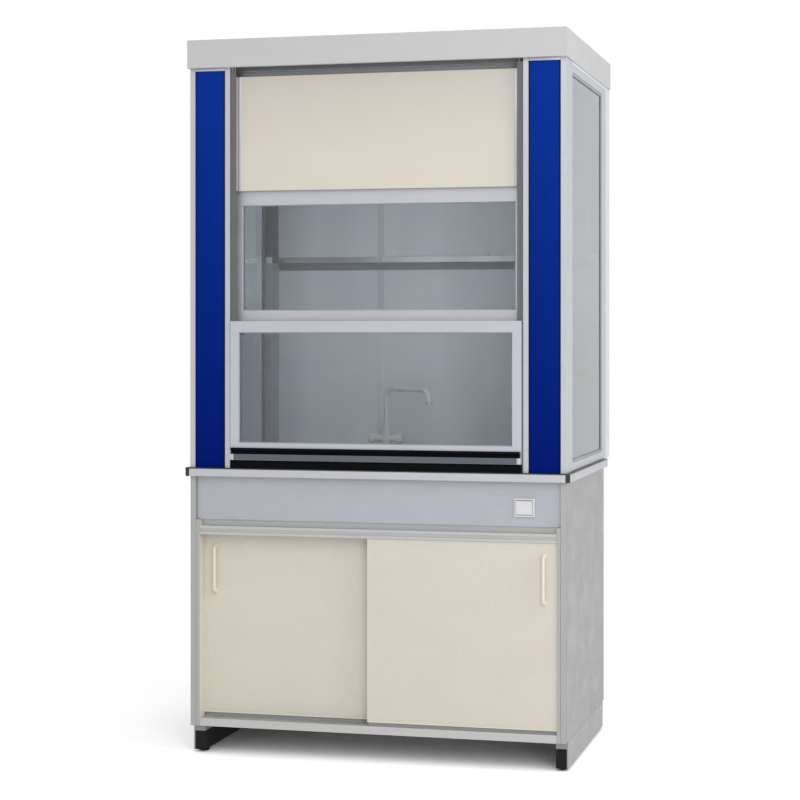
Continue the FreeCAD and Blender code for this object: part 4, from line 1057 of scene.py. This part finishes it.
def handle_feet():
    """A round foot where each end of a bow handle meets its door."""
    for side in ("left", "right"):
        low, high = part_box(f"{side}_door_handle")
        shape = bmesh.new()
        for z in HANDLE_ENDS:
            lathe(shape, HANDLE_FOOT, ((low.x + high.x) / 2, high.y, z), FORWARD, sides=28)
        add_shape(f"{side}_handle_feet", shape, "handle_cream", f"{side}_door")


def tap_trim():
    """A rubber ring under the tap, and a knurled outlet at the end of its spout."""
    low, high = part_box("tap_body")
    foot = ((low.x + high.x) / 2, (low.y + high.y) / 2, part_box("worktop_surface")[1].z)
    ring = bmesh.new()
    lathe(ring, TAP_RING, foot, UP, sides=48)
    add_shape("tap_ring", ring, "gasket_rubber", "root")
    outlet = bmesh.new()
    lathe(outlet, SPOUT_OUTLET, SPOUT_MOUTH, UP, sides=64, knurl=0.5 * MM)
    add_shape("spout_outlet", outlet, "sink_steel", "tap_spout")


# Stage, light and camera

FLOOR_REACH = 60                # half the floor's length and width
FLOOR_BOUNCE = (0.8, 0.8, 0.8, 1.0)     # what the floor gives back to the hood
FLOOR_SHOWN = (1.6, 1.6, 1.6, 1.0)      # what the camera sees
WORLD_COLOUR = (1.0, 1.0, 1.0, 1.0)
WORLD_LIGHT = 0.62

CAMERA_PLACE = (1.6197, -6.4688, 1.3378)
CAMERA_TURN = 14.28             # degrees to the left of straight ahead
FOCAL_PIXELS = 2026.07          # focal length, in the picture's pixels
PICTURE_PIXELS = 800
HORIZON_PIXEL = 330.14          # row of the picture at the camera's height
SENSOR = 36.0                   # width in millimetres


def shown(wire):
    """One for what the camera sees straight, in metal or through glass."""
    paths = wire.node("ShaderNodeLightPath").outputs
    direct = wire.math("MAXIMUM", paths["Is Camera Ray"], paths["Is Transmission Ray"])
    return wire.math("MAXIMUM", direct, paths["Is Glossy Ray"])


def floor():
    """A pale floor that shows white to the camera and keeps the hood's shadow."""
    shape = bmesh.new()
    bmesh.ops.create_grid(shape, x_segments=1, y_segments=1, size=FLOOR_REACH)
    made = bpy.data.objects.new("floor", to_mesh("floor", shape))
    bpy.context.scene.collection.objects.link(made)
    material, wire = new_material("floor_white")[:2]
    matt = wire.node("ShaderNodeBsdfDiffuse")
    wire.feed(matt.inputs["Color"], wire.mix(shown(wire), FLOOR_BOUNCE, FLOOR_SHOWN))
    wire.feed(material.node_tree.nodes["Material Output"].inputs["Surface"], matt.outputs[0])
    made.data.materials.append(material)


def world():
    """White to the camera, to metal and through glass, and a softer light on everything else."""
    made = bpy.data.worlds.new("studio")
    bpy.context.scene.world = made
    made.use_nodes = True
    wire = Wiring(made.node_tree)
    background = made.node_tree.nodes["Background"]
    wire.feed(background.inputs["Strength"], wire.remap(shown(wire), 0.0, 1.0, WORLD_LIGHT, 1.0))
    background.inputs["Color"].default_value = WORLD_COLOUR


def lamp(name, place, target, size, power):
    data = bpy.data.lights.new(name, "AREA")
    data.shape = "RECTANGLE"
    data.size, data.size_y = size
    data.energy = power
    made = bpy.data.objects.new(name, data)
    made.location = place
    made.rotation_euler = (Vector(target) - Vector(place)).to_track_quat("-Z", "Y").to_euler()
    bpy.context.scene.collection.objects.link(made)


def lights():
    lamp("key", (0.7, -4.8, 4.3), target=(0, -0.4, 1.2), size=(2.6, 2.6), power=50)
    lamp("front", (3.0, -5.4, 2.0), target=(-0.1, -0.4, 0.8), size=(1.8, 2.0), power=52)
    lamp("fill", (4.2, -1.4, 2.4), target=(0.6, 0, 1.1), size=(2.0, 2.6), power=50)


def camera():
    """Level, to the right of the front, with the horizon above the middle of the picture."""
    data = bpy.data.cameras.new("camera")
    data.sensor_width = SENSOR
    data.lens = FOCAL_PIXELS * SENSOR / PICTURE_PIXELS
    data.shift_y = (HORIZON_PIXEL - PICTURE_PIXELS / 2) / PICTURE_PIXELS
    made = bpy.data.objects.new("camera", data)
    made.location = CAMERA_PLACE
    made.rotation_euler = (math.radians(90), 0, math.radians(CAMERA_TURN))
    bpy.context.scene.collection.objects.link(made)
    bpy.context.scene.camera = made


paint_frame()
cables()
beads()
fixings()
grip_rubber()
cover_caps()
cover_beads()
panel_trims()
slot_trim()
seam_strips()
post_liners()
roof_seal()
edge_bands()
door_bands()
door_shoes()
handle_feet()
tap_trim()
floor()
world()
lights()
camera()
bpy.context.scene.view_settings.view_transform = "Standard"
